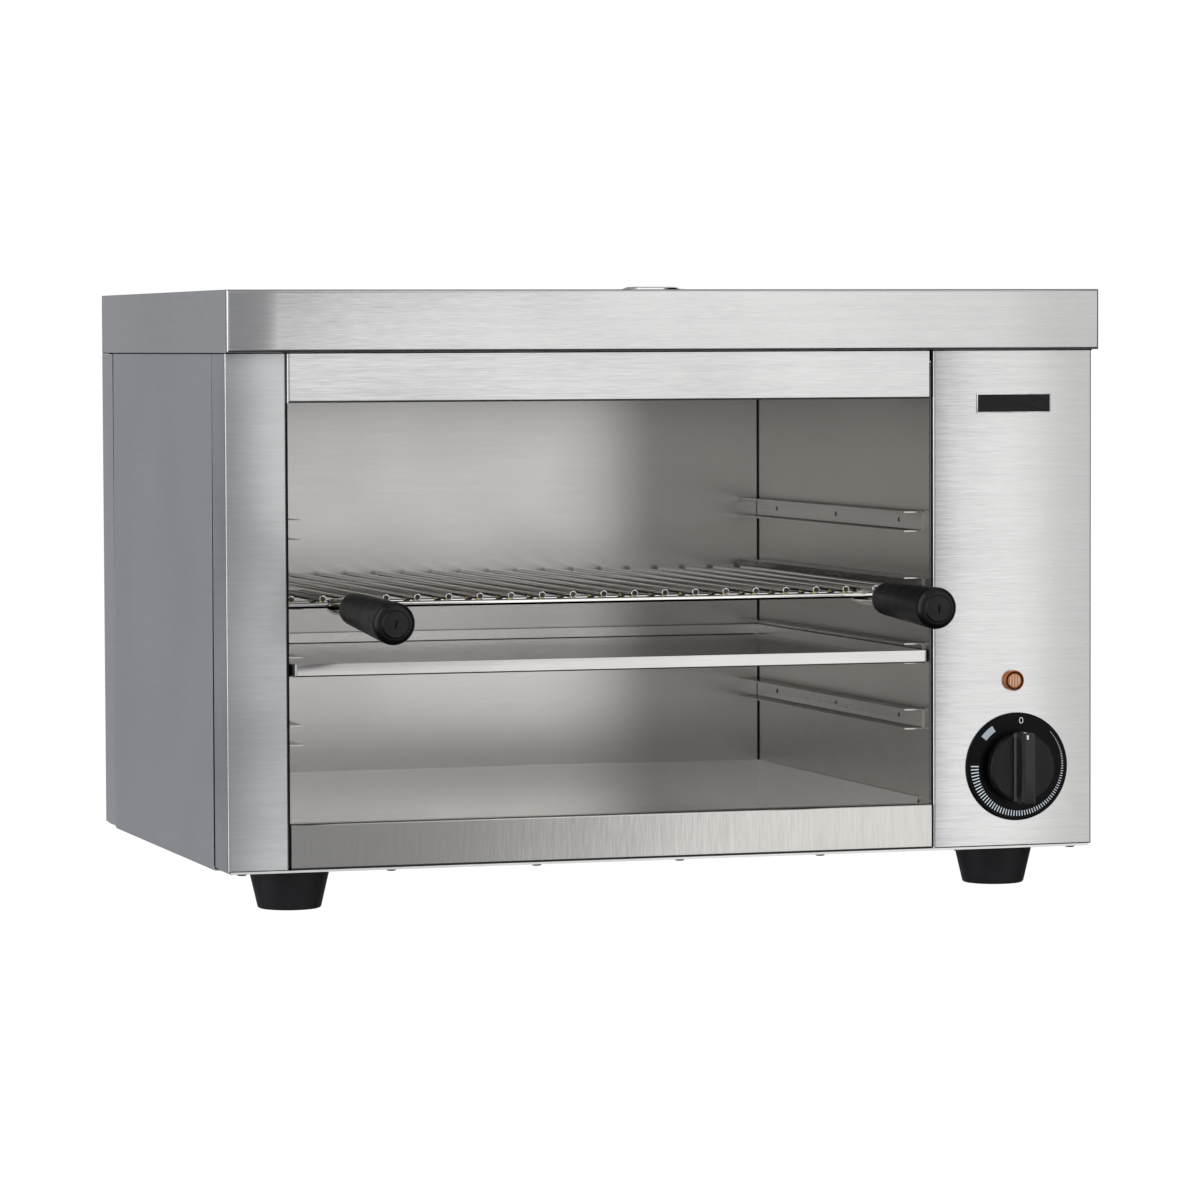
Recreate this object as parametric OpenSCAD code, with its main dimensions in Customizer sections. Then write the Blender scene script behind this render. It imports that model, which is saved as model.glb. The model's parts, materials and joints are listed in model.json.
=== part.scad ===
// Countertop cheese melter: a folded stainless steel casing with an open front, two heating
// elements under its ceiling, four pairs of runners, a wire rack with two grips and a sheet tray.
// Millimetres. The front faces -Y, +X is to the right and +Z is up. The origin is on the table,
// at the middle of the whole machine's footprint, grips and cable gland included.

/* [Casing] */
// Width over the top cover
cover_w = 610; // [600:1:700]
// Depth of the top cover
cover_d = 400; // [396:1:404]
// Height of the top cover's skirt
cover_h = 41; // [38:1:46]
// Height from the soles of the feet to the top
total_h = 410; // [406:1:430]
// Depth of the casing from its front face to its back
body_d = 394; // [390:1:400]
// How far the top cover stands out in front of the front face
cover_lip = 11; // [9:1:14]
// Thickness of the folded sheets
sheet = 1; // [0.8:0.1:1.2]
// Outer radius of a fold
fold_r = 2.2; // [1.6:0.1:2.4]
// Width of the front left pillar
pillar_w = 41; // [36:1:50]
// Inward lean of the side panels, in degrees
side_lean = 0.2; // [0.2:0.05:0.5]
// Width of the control panel
panel_w = 116; // [112:1:130]
// Depth of the side flanges of the pillar, the control panel and the rear panel
flange_d = 37.5; // [30:0.5:45]
// Height of the lower front strip
strip_h = 30.5; // [26:0.5:34]
// Height of the fascia that shows under the top cover
fascia_h = 33; // [28:1:36]

/* [Cavity] */
// Depth of the cavity from the front face to its back wall
cavity_d = 364; // [360:1:368]
// Height of the crumb pan's upturned edge above the table
pan_top_z = 63; // [61:0.5:66]
// Height of the ceiling above the table
ceiling_z = 360.5; // [358:0.5:362]
// Top of the highest runner above the table
runner_top_z = 259; // [256:1:262]
// Spacing of the runner levels
runner_pitch = 45; // [44:0.5:46]
// Number of runner levels
runner_levels = 4; // [4:1:4]
// Height of a runner's channel
runner_h = 14; // [14:0.5:15]
// Width of a runner's flanges
runner_w = 14; // [13:0.5:16]

/* [Wire rack] */
// Width of the rack over its cross wires
rack_w = 438; // [430:1:438]
// Number of front-to-back rods
rod_count = 21; // [19:1:21]
// Spacing of the rods
rod_pitch = 21.5; // [21:0.1:21.6]
// Diameter of the rods
rod_d = 5; // [4.5:0.1:5]
// Diameter of the front wire under the rods' ends
front_wire_d = 4; // [3.5:0.1:5]
// Diameter of the cross wires under the rods
cross_d = 3.5; // [3:0.1:3.5]
// How far the rack stands to the left of the middle of the cavity
rack_shift = 4.5; // [0:0.5:4.5]

/* [Grips] */
// How far the grips reach in front of the front face
grip_reach = 138; // [130:1:150]
// Length of a grip
grip_l = 100; // [90:1:105]
// Largest diameter of a grip
grip_d = 27.8; // [26:0.2:30]
// Diameter of a grip at its rear end
grip_rear_d = 21.5; // [20:0.5:23]
// Downward tilt of the left grip, in degrees
left_grip_tilt = 3; // [0:0.1:3]
// Downward tilt of the right grip, in degrees
right_grip_tilt = 1.2; // [0:0.1:3]
// Turn of the left grip towards the middle, in degrees
left_grip_turn = 1; // [0:0.5:2.5]
// Rod pitches from the middle of the rack to a grip
grip_pitches = 8.5; // [6.5:1:8.5]

/* [Tray] */
// Width of the sheet tray
tray_w = 443; // [440:0.5:443.5]
// Depth of the sheet tray
tray_d = 357; // [350:1:358]
// Height of the sheet tray's edge
tray_h = 8.5; // [7:0.5:10]

/* [Controls] */
// Distance of the knob's axis from the right side
knob_inset = 55.5; // [55:0.5:60]
// Height of the knob's axis
knob_z = 84; // [80:0.5:95]
// Diameter of the dial plate
dial_d = 74; // [70:1:78]
// Diameter of the knob
knob_d = 47; // [45:0.5:52]
// How far the knob's bar stands out from the control panel
knob_reach = 24.3; // [22:0.1:28]
// Height of the pilot lamp
lamp_z = 143; // [135:1:150]
// Diameter of the pilot lamp's lens
lamp_d = 14; // [13:0.5:16]
// Height of the cable gland above the base plate
gland_h = 47; // [40:1:60]
// How far the cable gland stands out from the back
gland_reach = 12; // [10:1:20]
// Height of the middle of the bare name plate
plate_z = 332.5; // [325:0.5:335]

/* [Feet] */
// Height of a foot
foot_h = 28; // [26:1:32]
// Diameter of a foot at the table
foot_d = 42; // [38:1:46]
// Diameter of a foot at the casing
foot_top_d = 55; // [50:1:56]
// Distance of a front foot's axis from the side
foot_inset = 53; // [50:1:60]
// Distance of a rear foot's axis from the side
rear_foot_inset = 98; // [60:1:110]
// Distance of a foot's axis from the front face and from the back
foot_setback = 50; // [48:1:60]

/* [Hidden] */
$fn = 48;
e = 0.01;                                     // overshoot of a cut past a face
side_x = cover_w / 2 - sheet;                 // outer face of the side panels
overall_d = grip_reach + body_d + gland_reach;
face_y = grip_reach - overall_d / 2;          // front face of the casing
back_y = face_y + body_d;
cover_y0 = face_y - cover_lip;
cover_y1 = cover_y0 + cover_d;
cover_z = total_h - cover_h;                  // lower edge of the cover's skirt
base_t = 1.5;                                 // base plate
body_z = foot_h + base_t;                     // lower edge of the front sheets
under_cover_z = total_h - 5;                  // upper edge of the sheets inside the cover
seam = 1.5;                                   // open seam between two neighbouring sheets
side_seam = 2.2;                              // open seams before and behind the side panels
corner_slit = 1.4;                            // open seam at the top cover's corners
corner_land = 2.4;                            // from the cover's front or rear to that seam
cover_screw_z = cover_z + 15;
hem = 14;                                     // width of the narrow flanges
post_fold_r = 1.7;                            // outer radius of the posts' folds

panel_x = side_x - panel_w;                   // left edge of the control panel
cavity_x0 = -side_x + pillar_w;               // inner faces of the cavity's side walls
cavity_x1 = panel_x - sheet;
cavity_mid_x = (cavity_x0 + cavity_x1) / 2;
cavity_back_y = face_y + cavity_d;
return_d = 19;                                // depth of the posts' returns into the opening
wall_y0 = face_y + return_d + 1;              // front edge of the left cavity wall
strip_top_z = body_z + strip_h;
fascia_z = cover_z - fascia_h;                // lower edge of the fascia
strip_flange = 24;                            // depth of the strip's lower flange
pan_y0 = face_y + strip_flange + 1;           // front edge of the crumb pan
side_y0 = face_y + flange_d + side_seam;      // front and rear edges of the side panels
side_y1 = back_y - flange_d - side_seam;
side_flange_x = side_x - 19;                  // inner edge of the side panels' lower flanges
side_top_z = total_h - 2;
rear_top_z = cover_z - 1;                     // upper edge of the rear panel below the cover
rear_screw_y = back_y - 12;
rear_flange_y = back_y - 21;                  // front edge of the rear panel's lower flange
slot_h = 4;                                   // air slots

runner_y0 = face_y + 16;                      // front end of the runners
runner_y1 = cavity_back_y - 1;
rivet_d = 3.2;
rivet_ys = [runner_y0 + 45, (runner_y0 + runner_y1) / 2, runner_y1 - 45];

element_d = 8;                                // heating element tube
element_z = ceiling_z - 15;
element_r = 30;                               // radius of the hairpin's bend
element_x0 = cavity_x0 + 35 + element_r;      // centre of the bend
element_x1 = cavity_x1 + 34;                  // end of the tube's cold end
element_tab_x = element_x1 + 12;
element_ys = [face_y + 80, face_y + 235];     // middles of the two hairpins
hanger_xs = [cavity_x0 + 110, cavity_x1 - 120];
hanger_reach = 45;                            // from a hairpin's middle to the hanger's end
bush_d = 12;                                  // seal bushes of the elements
bush_flange_d = 18;
insulation_h = 30;

rack_x = cavity_mid_x - rack_shift;           // middle of the rack
rack_level = 2;
rack_lift = 0.25;                             // gap between the rack and the runner it rides on
weld = 0.3;                                   // how deep a rod is welded into a cross wire
rack_floor_z = runner_z(rack_level) + sheet;
cross_z = rack_floor_z + rack_lift + cross_d / 2;
rod_z = cross_z + (cross_d + rod_d) / 2 - weld;
front_wire_z = rod_z - (rod_d + front_wire_d) / 2 + weld;
front_wire_y = runner_y0 - 1.5 - front_wire_d / 2;
rod_y0 = front_wire_y - 0.5;                  // the rods end over the front wire
rod_y1 = cavity_back_y - 8;
cross_ys = [front_wire_y + 27, (front_wire_y + rod_y1) / 2 + 8, rod_y1 - 6];

grip_boss = 1.2;                              // height of the raised disc on the grip's end
grip_boss_r = 7.8;
grip_z = front_wire_z;
grip_shifts = [-2.7, -0.8];                   // how far each grip stands off its rod
grip_xs = [for (i = [0, 1]) rack_x + (2 * i - 1) * grip_pitches * rod_pitch + grip_shifts[i]];
grip_tilts = [left_grip_tilt, right_grip_tilt];
grip_turns = [left_grip_turn, 0];
grip_leans = [for (i = [0, 1]) acos(cos(grip_tilts[i]) * cos(grip_turns[i]))];
// Rear ends of the grips, so that both reach equally far
grip_ys = [for (a = grip_leans) face_y - grip_reach + grip_l * cos(a) + grip_boss_r * sin(a)];
strap_w = 10;
strap_t = 1.5;
strap_gap = 7.5;                              // clear height between the strap's legs
strap_flare = 16;                             // length over which the legs part behind the wire
strap_in_grip = 14;                           // length of the legs inside the grip
strap_bolt_y = front_wire_y - 29;
strap_bolt_d = 3;
strap_bolt_head = [6, 0.8];                   // diameter and height of a rivet's head
grip_screw_d = 4;
grip_screw_head_d = 8;
grip_nut = [8, 6, 6];

tray_level = 3;
tray_z = runner_z(tray_level) + sheet + 0.3;
tray_x1 = cavity_x1 - sheet - 1.2;            // right edge of the tray
tray_y0 = face_y + 3;

knob_x = side_x - knob_inset;
services_x = knob_x - 2;                      // middle of the name plate and the rear fittings
lamp_x = knob_x - 2.5;
dial_t = 2;
knob_gap = 3.2;                               // between the knob and the dial plate
knob_face = 13.5;                             // knob's face in front of the control panel
shaft_d = 6;
bar_w = 10.2;                                 // the knob's bar
bar_l = knob_d + 2.6;                         // its ends reach over the rim of the disc
pointer_x = -1.2;                             // pointer's middle, from the middle of the bar
pointer_w = 2.1;
shaft_fit = 0.05;                             // radial running clearance of the shaft
regulator = [40, 36, 46];
regulator_tab_y = face_y + sheet + regulator[1] + 6;
regulator_neck_d = 10;
regulator_screw_dx = 14;
regulator_screw_d = 4;
tab_x = -17.6;                                // regulator's tabs: the first one, and their spacing
tab_pitch = 11;
lamp_reach = 4;
lamp_holder_d = 12;
plate_size = [54, 1, 13.2];
gland_z = foot_h + gland_h;
gland_thread_d = 16;
gland_flange_d = 24;
terminal_pos = [services_x, back_y - 66, body_z];
vent_y = face_y + 39;                         // middle of the vent in the top cover
vent_size = [37, 28];
vent_gap = 1.4;                               // open height below the vent's bridge
vent_t = 0.8;
vent_leg = 1.5;
vent_hole_d = 16;

foot_ys = [face_y + foot_setback, back_y - foot_setback];
feet = [for (row = [[foot_inset, foot_ys[0]], [rear_foot_inset, foot_ys[1]]], s = [-1, 1])
    [s * (side_x - row[0]), row[1]]];         // front pair, then rear pair
foot_screw_d = 5;
foot_recess = [14, 12];                       // diameter and depth of the screw's recess

screw_d = 4;                                  // casing screws
screw_y = face_y + 17;                        // row under the front flanges
front_screw_xs = [-side_x + 13, for (i = [0:4]) cavity_mid_x - 151.5 + 100.5 * i, side_x - 9];
rear_screw_xs = [for (i = [-2:2]) 100 * i];
side_screws = [[side_x - 14, side_y0 + 5], [side_x - 11, back_y - 161]];
cover_screw_xs = [-200, 0, 200];

steel = [0.74, 0.74, 0.75];
dark_steel = [0.5, 0.49, 0.47];
chrome = [0.85, 0.85, 0.86];
black = [0.06, 0.06, 0.065];
amber = [0.9, 0.45, 0.1, 0.8];

// Lower face of a runner's channel, counted from the top
function runner_z(level) = runner_top_z - runner_h - runner_pitch * (level - 1);

// Points on an arc, for a turned profile
function arc(cx, cy, r, a0, a1, n) =
    [for (i = [0:n]) let (a = a0 + (a1 - a0) * i / n) [cx + r * cos(a), cy + r * sin(a)]];

// Outline of a folded sheet of thickness t. The points are the corners of its outer face, walked
// with the sheet on the left, and every fold turns left with the outer radius r.
function left(d) = [-d[1], d[0]];
function fold_arc(a, v, b, r, rr, n = 5) =
    let (d0 = (v - a) / norm(v - a), d1 = (b - v) / norm(b - v), turn = acos(d0 * d1),
         c = v - d0 * r * tan(turn / 2) + left(d0) * r, start = atan2(-left(d0)[1], -left(d0)[0]))
    [for (i = [0:n]) c + rr * [cos(start + turn * i / n), sin(start + turn * i / n)]];
function reversed(p) = [for (i = [len(p) - 1:-1:0]) p[i]];
function folded(p, t = sheet, r = fold_r) =
    let (m = len(p) - 1, d0 = (p[1] - p[0]) / norm(p[1] - p[0]),
         d1 = (p[m] - p[m - 1]) / norm(p[m] - p[m - 1]))
    concat([p[0]], [for (i = [1:m - 1]) each fold_arc(p[i - 1], p[i], p[i + 1], r, r)],
           [p[m], p[m] + left(d1) * t],
           [for (i = [m - 1:-1:1]) each reversed(fold_arc(p[i - 1], p[i], p[i + 1], r, r - t))],
           [p[0] + left(d0) * t]);

// Extrusions of a (y, z) outline along X, an (x, z) outline along Y and an (x, y) outline along Z
module sweep_x(x, p)
    translate([x[0], 0, 0]) rotate([90, 0, 90]) linear_extrude(x[1] - x[0]) polygon(p);
module sweep_y(y, p)
    translate([0, y[1], 0]) rotate([90, 0, 0]) linear_extrude(y[1] - y[0]) polygon(p);
module sweep_z(z, p)
    translate([0, 0, z[0]]) linear_extrude(z[1] - z[0]) polygon(p);

// A block between two corners, given as ranges
module span(x, y, z)
    translate([x[0], y[0], z[0]]) cube([x[1] - x[0], y[1] - y[0], z[1] - z[0]]);

// Turns the Z axis to +X, or to -Y towards the user
module along_x() rotate([0, 90, 0]) children();
module to_front() rotate([90, 0, 0]) children();

// The sharp corner that a fold of radius r hasn't got, on an edge along Z at the origin.
// sx and sy point from the edge to the inside of the corner.
module fold_cut(len, sx, sy, r = fold_r)
    difference() {
        translate([sx > 0 ? -e : -r, sy > 0 ? -e : -r, 0]) cube([r + e, r + e, len]);
        translate([sx * r, sy * r, -e]) cylinder(r = r, h = len + 2 * e);
    }

// The same cut on an edge along +X
module fold_cut_x(len, sy, sz, r = fold_r)
    rotate([90, 0, 90]) fold_cut(len, sy, sz, r);

// A pan-head screw: its head's seat is at the origin, the head above and the shank below
module pan_screw(d, len) {
    intersection() {
        cylinder(d = 2 * d, h = 0.6 * d);
        translate([0, 0, -0.85 * d]) sphere(d = 2.9 * d);
    }
    translate([0, 0, -len]) cylinder(d = d, h = len);
}

// ---------------------------------------------------------------- casing

module top_cover()
    color(steel) difference() {
        union() {
            difference() {
                span([-cover_w / 2, cover_w / 2], [cover_y0, cover_y1], [cover_z, total_h]);
                span([-side_x, side_x], [cover_y0 + sheet, cover_y1 - sheet],
                     [cover_z - e, total_h - sheet]);
            }
            span([-side_x, side_x], [cover_y0 + sheet, face_y - 0.5], [cover_z, cover_z + sheet]);
        }
        for (sx = [-1, 1]) {
            translate([sx * cover_w / 2, cover_y0, cover_z - e])
                fold_cut(cover_h + 2 * e, -sx, 1);
            translate([sx * cover_w / 2, cover_y1, cover_z - e])
                fold_cut(cover_h + 2 * e, -sx, -1);
            // Open seams behind the corners, where the side skirts meet the front and rear ones
            for (y = [cover_y0 + corner_land, cover_y1 - corner_land - corner_slit])
                translate([sx * cover_w / 2 - 2, y, cover_z - e])
                    cube([4, corner_slit, cover_h - 4]);
        }
        translate([-cover_w / 2 - e, cover_y0, total_h]) fold_cut_x(cover_w + 2 * e, 1, -1);
        translate([-cover_w / 2 - e, cover_y0, cover_z]) fold_cut_x(cover_w + 2 * e, 1, 1);
        for (x = cover_screw_xs)
            translate([x, cover_y1 + e, cover_screw_z]) to_front() cylinder(d = screw_d + 0.4, h = 2);
        translate([0, vent_y, total_h - 2]) cylinder(d = vent_hole_d, h = 4);
    }

// Low pressed bridge over the steam hole, open along its front and rear edges
module top_vent()
    color(steel) translate([0, vent_y, total_h]) {
        x = vent_size[0] / 2;
        y = [-vent_size[1] / 2, vent_size[1] / 2];
        span([-x, x], y, [vent_gap, vent_gap + vent_t]);
        for (leg = [[-x, vent_leg - x], [x - vent_leg, x]]) span(leg, y, [0, vent_gap]);
    }

// The web leans inwards from its lower edge, which stands flush with the top cover
module right_panel_sheet()
    difference() {
        x = cover_w / 2;
        z = [foot_h - sheet, side_top_z];
        lean = (z[1] - z[0]) * tan(side_lean);
        sweep_y([side_y0, side_y1], folded([[side_flange_x, z[0]], [x, z[0]], [x - lean, z[1]],
                                            [x - lean - hem, z[1]]]));
        for (p = side_screws)
            translate([p[0], p[1], z[0] - 1]) cylinder(d = screw_d + 0.4, h = 3);
    }

module left_side_panel() color(steel) mirror([1, 0, 0]) right_panel_sheet();
module right_side_panel() color(steel) right_panel_sheet();

module rear_panel()
    color(steel) difference() {
        union() {
            span([-side_x, side_x], [back_y - sheet, back_y], [body_z, rear_top_z]);
            for (x = [[-side_x, -side_x + sheet], [side_x - sheet, side_x]])
                span(x, [back_y - flange_d, back_y], [body_z, rear_top_z]);
            span([-side_x, side_x], [rear_flange_y, back_y], [body_z, body_z + sheet]);
            // A tongue that goes up inside the top cover's rear skirt and takes its screws
            x = [-side_x + 4, side_x - 4];
            y = cover_y1 - 3;
            z = rear_top_z - sheet;
            span(x, [y, back_y], [z, rear_top_z]);
            span(x, [y, y + sheet], [z, cover_z + 27]);
        }
        for (sx = [-1, 1])
            translate([sx * side_x, back_y, body_z - e]) fold_cut(cover_z - body_z, -sx, -1);
        for (x = rear_screw_xs)
            translate([x, rear_screw_y, body_z - e]) cylinder(d = screw_d + 0.4, h = 2);
        for (x = cover_screw_xs)
            translate([x, cover_y1, cover_screw_z]) to_front() cylinder(d = screw_d + 0.4, h = 4);
        translate([services_x, back_y + e, gland_z]) to_front()
            cylinder(d = gland_thread_d + 0.2, h = 2);
        // Air slots behind the controls and above the cavity
        for (i = [0:7])
            span([services_x - 30, services_x + 30], [back_y - 2, back_y + 1],
                 [150 + 14 * i, 150 + 14 * i + slot_h]);
        for (x = [-200:50:100], z = [cover_z - 45, cover_z - 30])
            span([x, x + 34], [back_y - 2, back_y + 1], [z, z + slot_h]);
    }

// Folded post between x[0] and x[1]: a front face with flanges of the depths d[0] and d[1]
module post_sheet(x, d)
    difference() {
        union() {
            sweep_z([body_z, under_cover_z],
                    folded([[x[0], face_y + d[0]], [x[0], face_y], [x[1], face_y],
                            [x[1], face_y + d[1]]], r = post_fold_r));
            span([x[0] + post_fold_r, x[1] - post_fold_r], [face_y, face_y + strip_flange],
                 [body_z, body_z + sheet]);
        }
        translate([x[0] - e, face_y, body_z]) fold_cut_x(x[1] - x[0] + 2 * e, 1, 1, 1.2);
    }

module left_pillar()
    color(steel) difference() {
        post_sheet([-side_x, cavity_x0], [flange_d, return_d]);
        translate([front_screw_xs[0], screw_y, body_z - e]) cylinder(d = screw_d + 0.4, h = 2);
    }

module control_panel()
    color(steel) difference() {
        post_sheet([panel_x, side_x], [return_d, flange_d]);
        for (i = [5, 6])
            translate([front_screw_xs[i], screw_y, body_z - e]) cylinder(d = screw_d + 0.4, h = 2);
        translate([knob_x, face_y + 3, knob_z]) to_front() {
            cylinder(d = regulator_neck_d + 2, h = 5);
            for (dx = [-regulator_screw_dx, regulator_screw_dx])
                translate([dx, 0, 0]) cylinder(d = regulator_screw_d + 0.3, h = 5);
        }
        translate([lamp_x, face_y + 3, lamp_z]) to_front()
            cylinder(d = lamp_holder_d + 0.2, h = 5);
    }

module upper_fascia()
    color(steel) difference() {
        x = [cavity_x0 + 0.4, cavity_x1 - 1.8];
        union() {
            sweep_x(x, folded([[face_y + hem, under_cover_z], [face_y, under_cover_z],
                               [face_y, fascia_z], [face_y + hem + 4, fascia_z]], r = 1.6));
            span([x[0], x[0] + sheet], [face_y, face_y + hem], [fascia_z, ceiling_z]);
        }
        translate([x[0], face_y, fascia_z - e]) fold_cut(under_cover_z - fascia_z + 1, 1, 1);
    }

module lower_strip()
    color(steel) difference() {
        y = [face_y + hem, face_y, face_y + strip_flange];
        sweep_x([cavity_x0 + 1.6, cavity_x1 - 0.3],
                folded([[y[0], strip_top_z - 10], [y[0], strip_top_z], [y[1], strip_top_z],
                        [y[1], body_z], [y[2], body_z]], r = 1.8));
        for (i = [1:4])
            translate([front_screw_xs[i], screw_y, body_z - e]) cylinder(d = screw_d + 0.4, h = 2);
    }

module base_plate()
    color(steel) difference() {
        span([-side_x + 2, side_x - 2], [face_y + 1, back_y - 1.5], [foot_h, body_z]);
        for (p = feet)
            translate([p[0], p[1], foot_h - 1]) cylinder(d = foot_screw_d + 0.3, h = 4);
        for (x = front_screw_xs)
            translate([x, screw_y, foot_h - 1]) cylinder(d = screw_d + 0.2, h = 4);
        for (x = rear_screw_xs)
            translate([x, rear_screw_y, foot_h - 1]) cylinder(d = screw_d + 0.2, h = 4);
        for (s = [-1, 1], p = side_screws)
            translate([s * p[0], p[1], foot_h - 1]) cylinder(d = screw_d + 0.2, h = 4);
        for (i = [0:5])
            span([services_x - 28, services_x + 28],
                 [face_y + 90 + 14 * i, face_y + 90 + 14 * i + slot_h], [foot_h - 1, body_z + 1]);
    }

// ---------------------------------------------------------------- cavity

module cavity_back()
    color(dark_steel) {
        x = [cavity_x0 - sheet, cavity_x1 + sheet];
        span(x, [cavity_back_y, cavity_back_y + sheet], [body_z, ceiling_z]);
        span(x, [cavity_back_y, cavity_back_y + 8], [body_z, body_z + sheet]);
        span(x, [cavity_back_y, cavity_back_y + hem], [ceiling_z - sheet, ceiling_z]);
    }

// s is the side of the cavity; y0 is the wall's front edge
module cavity_wall(s, y0) {
    x_in = s > 0 ? cavity_x1 : cavity_x0;
    y1 = cavity_back_y - seam;
    difference() {
        union() {
            span(s > 0 ? [x_in, x_in + sheet] : [x_in - sheet, x_in], [y0, y1],
                 [body_z, ceiling_z]);
            for (z = [body_z, ceiling_z - sheet])
                span(s > 0 ? [x_in, x_in + hem] : [x_in - hem, x_in], [face_y + 27, y1],
                     [z, z + sheet]);
        }
        for (level = [1:runner_levels], y = rivet_ys)
            translate([x_in - 3, y, runner_z(level) + runner_h / 2]) along_x()
                cylinder(d = rivet_d, h = 6);
        if (s > 0)
            for (yc = element_ys, dy = [-element_r, element_r])
                translate([x_in - 3, yc + dy, element_z]) along_x()
                    cylinder(d = bush_d + 0.4, h = 6);
    }
}

module cavity_left_wall() color(dark_steel) cavity_wall(-1, wall_y0);
module cavity_right_wall() color(dark_steel) cavity_wall(1, face_y + 5);

// Shallow pan that lines the floor: its upturned edges show as a line round the walls
module crumb_pan()
    color(dark_steel) difference() {
        x = [cavity_x0 + 0.2, cavity_x1 - 0.2];
        y = [pan_y0, cavity_back_y - 0.2];
        span(x, y, [body_z, pan_top_z]);
        span([x[0] + sheet, x[1] - sheet], [y[0] + sheet, y[1] - sheet],
             [body_z + sheet, pan_top_z - 2]);
        // The upper edges are hemmed, twice as thick
        span([x[0] + 2 * sheet, x[1] - 2 * sheet], [y[0] + sheet, y[1] - 2 * sheet],
             [pan_top_z - 3, pan_top_z + 1]);
        // The front edge stays below the strip's upper edge
        span([cavity_x0, cavity_x1], [y[0] - 1, y[0] + sheet + e],
             [strip_top_z - 3, pan_top_z + 1]);
    }

module ceiling_reflector()
    color(dark_steel) {
        span([cavity_x0 - sheet, cavity_x1 + sheet], [wall_y0, cavity_back_y + sheet],
             [ceiling_z, ceiling_z + sheet]);
        span([cavity_x0 + 0.5, cavity_x1 + sheet], [face_y + 1.5, wall_y0],
             [ceiling_z, ceiling_z + sheet]);
        span([cavity_x0 + 2.5, cavity_x1 - 1], [face_y + 1.5, face_y + 1.5 + sheet],
             [ceiling_z, ceiling_z + hem]);
    }

module insulation()
    color([0.86, 0.82, 0.68])
        span([cavity_x0 + 3, cavity_x1 - 3], [face_y + 6, cavity_back_y - 3],
             [ceiling_z + sheet, ceiling_z + sheet + insulation_h]);

// A channel that opens towards the cavity, riveted to the wall
module runner(s, level)
    color(steel) difference() {
        x = s > 0 ? cavity_x1 : cavity_x0;
        z = runner_z(level);
        corners = [[x - s * runner_w, z], [x, z], [x, z + runner_h], [x - s * runner_w, z + runner_h]];
        sweep_y([runner_y0, runner_y1], folded(s > 0 ? corners : reversed(corners), r = 1.5));
        for (y = rivet_ys)
            translate([x - 3, y, z + runner_h / 2]) along_x() cylinder(d = rivet_d, h = 6);
    }

module left_runner_1() runner(-1, 1);
module left_runner_2() runner(-1, 2);
module left_runner_3() runner(-1, 3);
module left_runner_4() runner(-1, 4);
module right_runner_1() runner(1, 1);
module right_runner_2() runner(1, 2);
module right_runner_3() runner(1, 3);
module right_runner_4() runner(1, 4);

// Flush inside the channel, with a formed head behind the wall
module runner_rivets()
    color(dark_steel)
        for (s = [-1, 1], level = [1:runner_levels], y = rivet_ys) {
            x_wall = s > 0 ? cavity_x1 : cavity_x0;
            translate([x_wall, y, runner_z(level) + runner_h / 2]) rotate([0, s * 90, 0]) {
                translate([0, 0, -sheet - 0.2]) cylinder(d = rivet_d - 0.1, h = 2 * sheet + 0.2);
                translate([0, 0, sheet]) cylinder(d = 6, h = 1.2);
            }
        }

// ---------------------------------------------------------------- heating elements

module element(yc)
    color([0.28, 0.27, 0.26]) translate([0, yc, element_z]) {
        for (dy = [-element_r, element_r])
            translate([element_x0, dy, 0]) along_x()
                cylinder(d = element_d, h = element_x1 - element_x0);
        translate([element_x0, 0, 0]) rotate([0, 0, 90])
            rotate_extrude(angle = 180) translate([element_r, 0]) circle(d = element_d);
    }

module front_element() element(element_ys[0]);
module rear_element() element(element_ys[1]);

// Two combs that hang from the ceiling and carry the tubes
module element_hangers()
    color(steel) for (x = hanger_xs) difference() {
        union() {
            y = [element_ys[0] - hanger_reach, element_ys[1] + hanger_reach];
            span([x, x + 1.5], y, [element_z - 8, ceiling_z]);
            span([x, x + hem], y, [ceiling_z - 1.5, ceiling_z]);
        }
        for (yc = element_ys, dy = [-element_r, element_r])
            translate([x - 1, yc + dy, element_z]) along_x() cylinder(d = element_d + 0.4, h = 4);
    }

// Brass bushes that seal the tubes where they pass through the right wall
module element_bushes()
    color([0.78, 0.62, 0.3]) for (yc = element_ys, dy = [-element_r, element_r])
        translate([cavity_x1, yc + dy, element_z]) along_x() difference() {
            union() {
                translate([0, 0, -3]) cylinder(d = bush_flange_d, h = 3);
                cylinder(d = bush_d, h = 12);
                translate([0, 0, sheet]) cylinder(d = bush_flange_d, h = 5, $fn = 6);
            }
            translate([0, 0, -4]) cylinder(d = element_d + 0.1, h = 20);
        }

module element_terminals()
    color([0.9, 0.88, 0.82]) for (yc = element_ys, dy = [-element_r, element_r])
        translate([element_x1, yc + dy, element_z]) {
            along_x() cylinder(d = 6.5, h = 5);
            span([5 - e, 13], [-3.15, 3.15], [-0.4, 0.4]);
        }

// ---------------------------------------------------------------- wire rack

module rack_rods()
    color(chrome) for (i = [0:rod_count - 1])
        translate([rack_x + (i - (rod_count - 1) / 2) * rod_pitch, rod_y1, rod_z])
            to_front() cylinder(d = rod_d, h = rod_y1 - rod_y0);

module rack_cross_wires()
    color(chrome) {
        translate([rack_x - rack_w / 2, front_wire_y, front_wire_z])
            along_x() cylinder(d = front_wire_d, h = rack_w);
        for (y = cross_ys)
            translate([rack_x - rack_w / 2, y, cross_z])
                along_x() cylinder(d = cross_d, h = rack_w);
    }

// Places a grip: its rear end at the origin, +Z towards the user
module at_grip(i)
    translate([grip_xs[i], grip_ys[i], grip_z]) rotate([grip_tilts[i], 0, grip_turns[i]])
        to_front() children();

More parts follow.
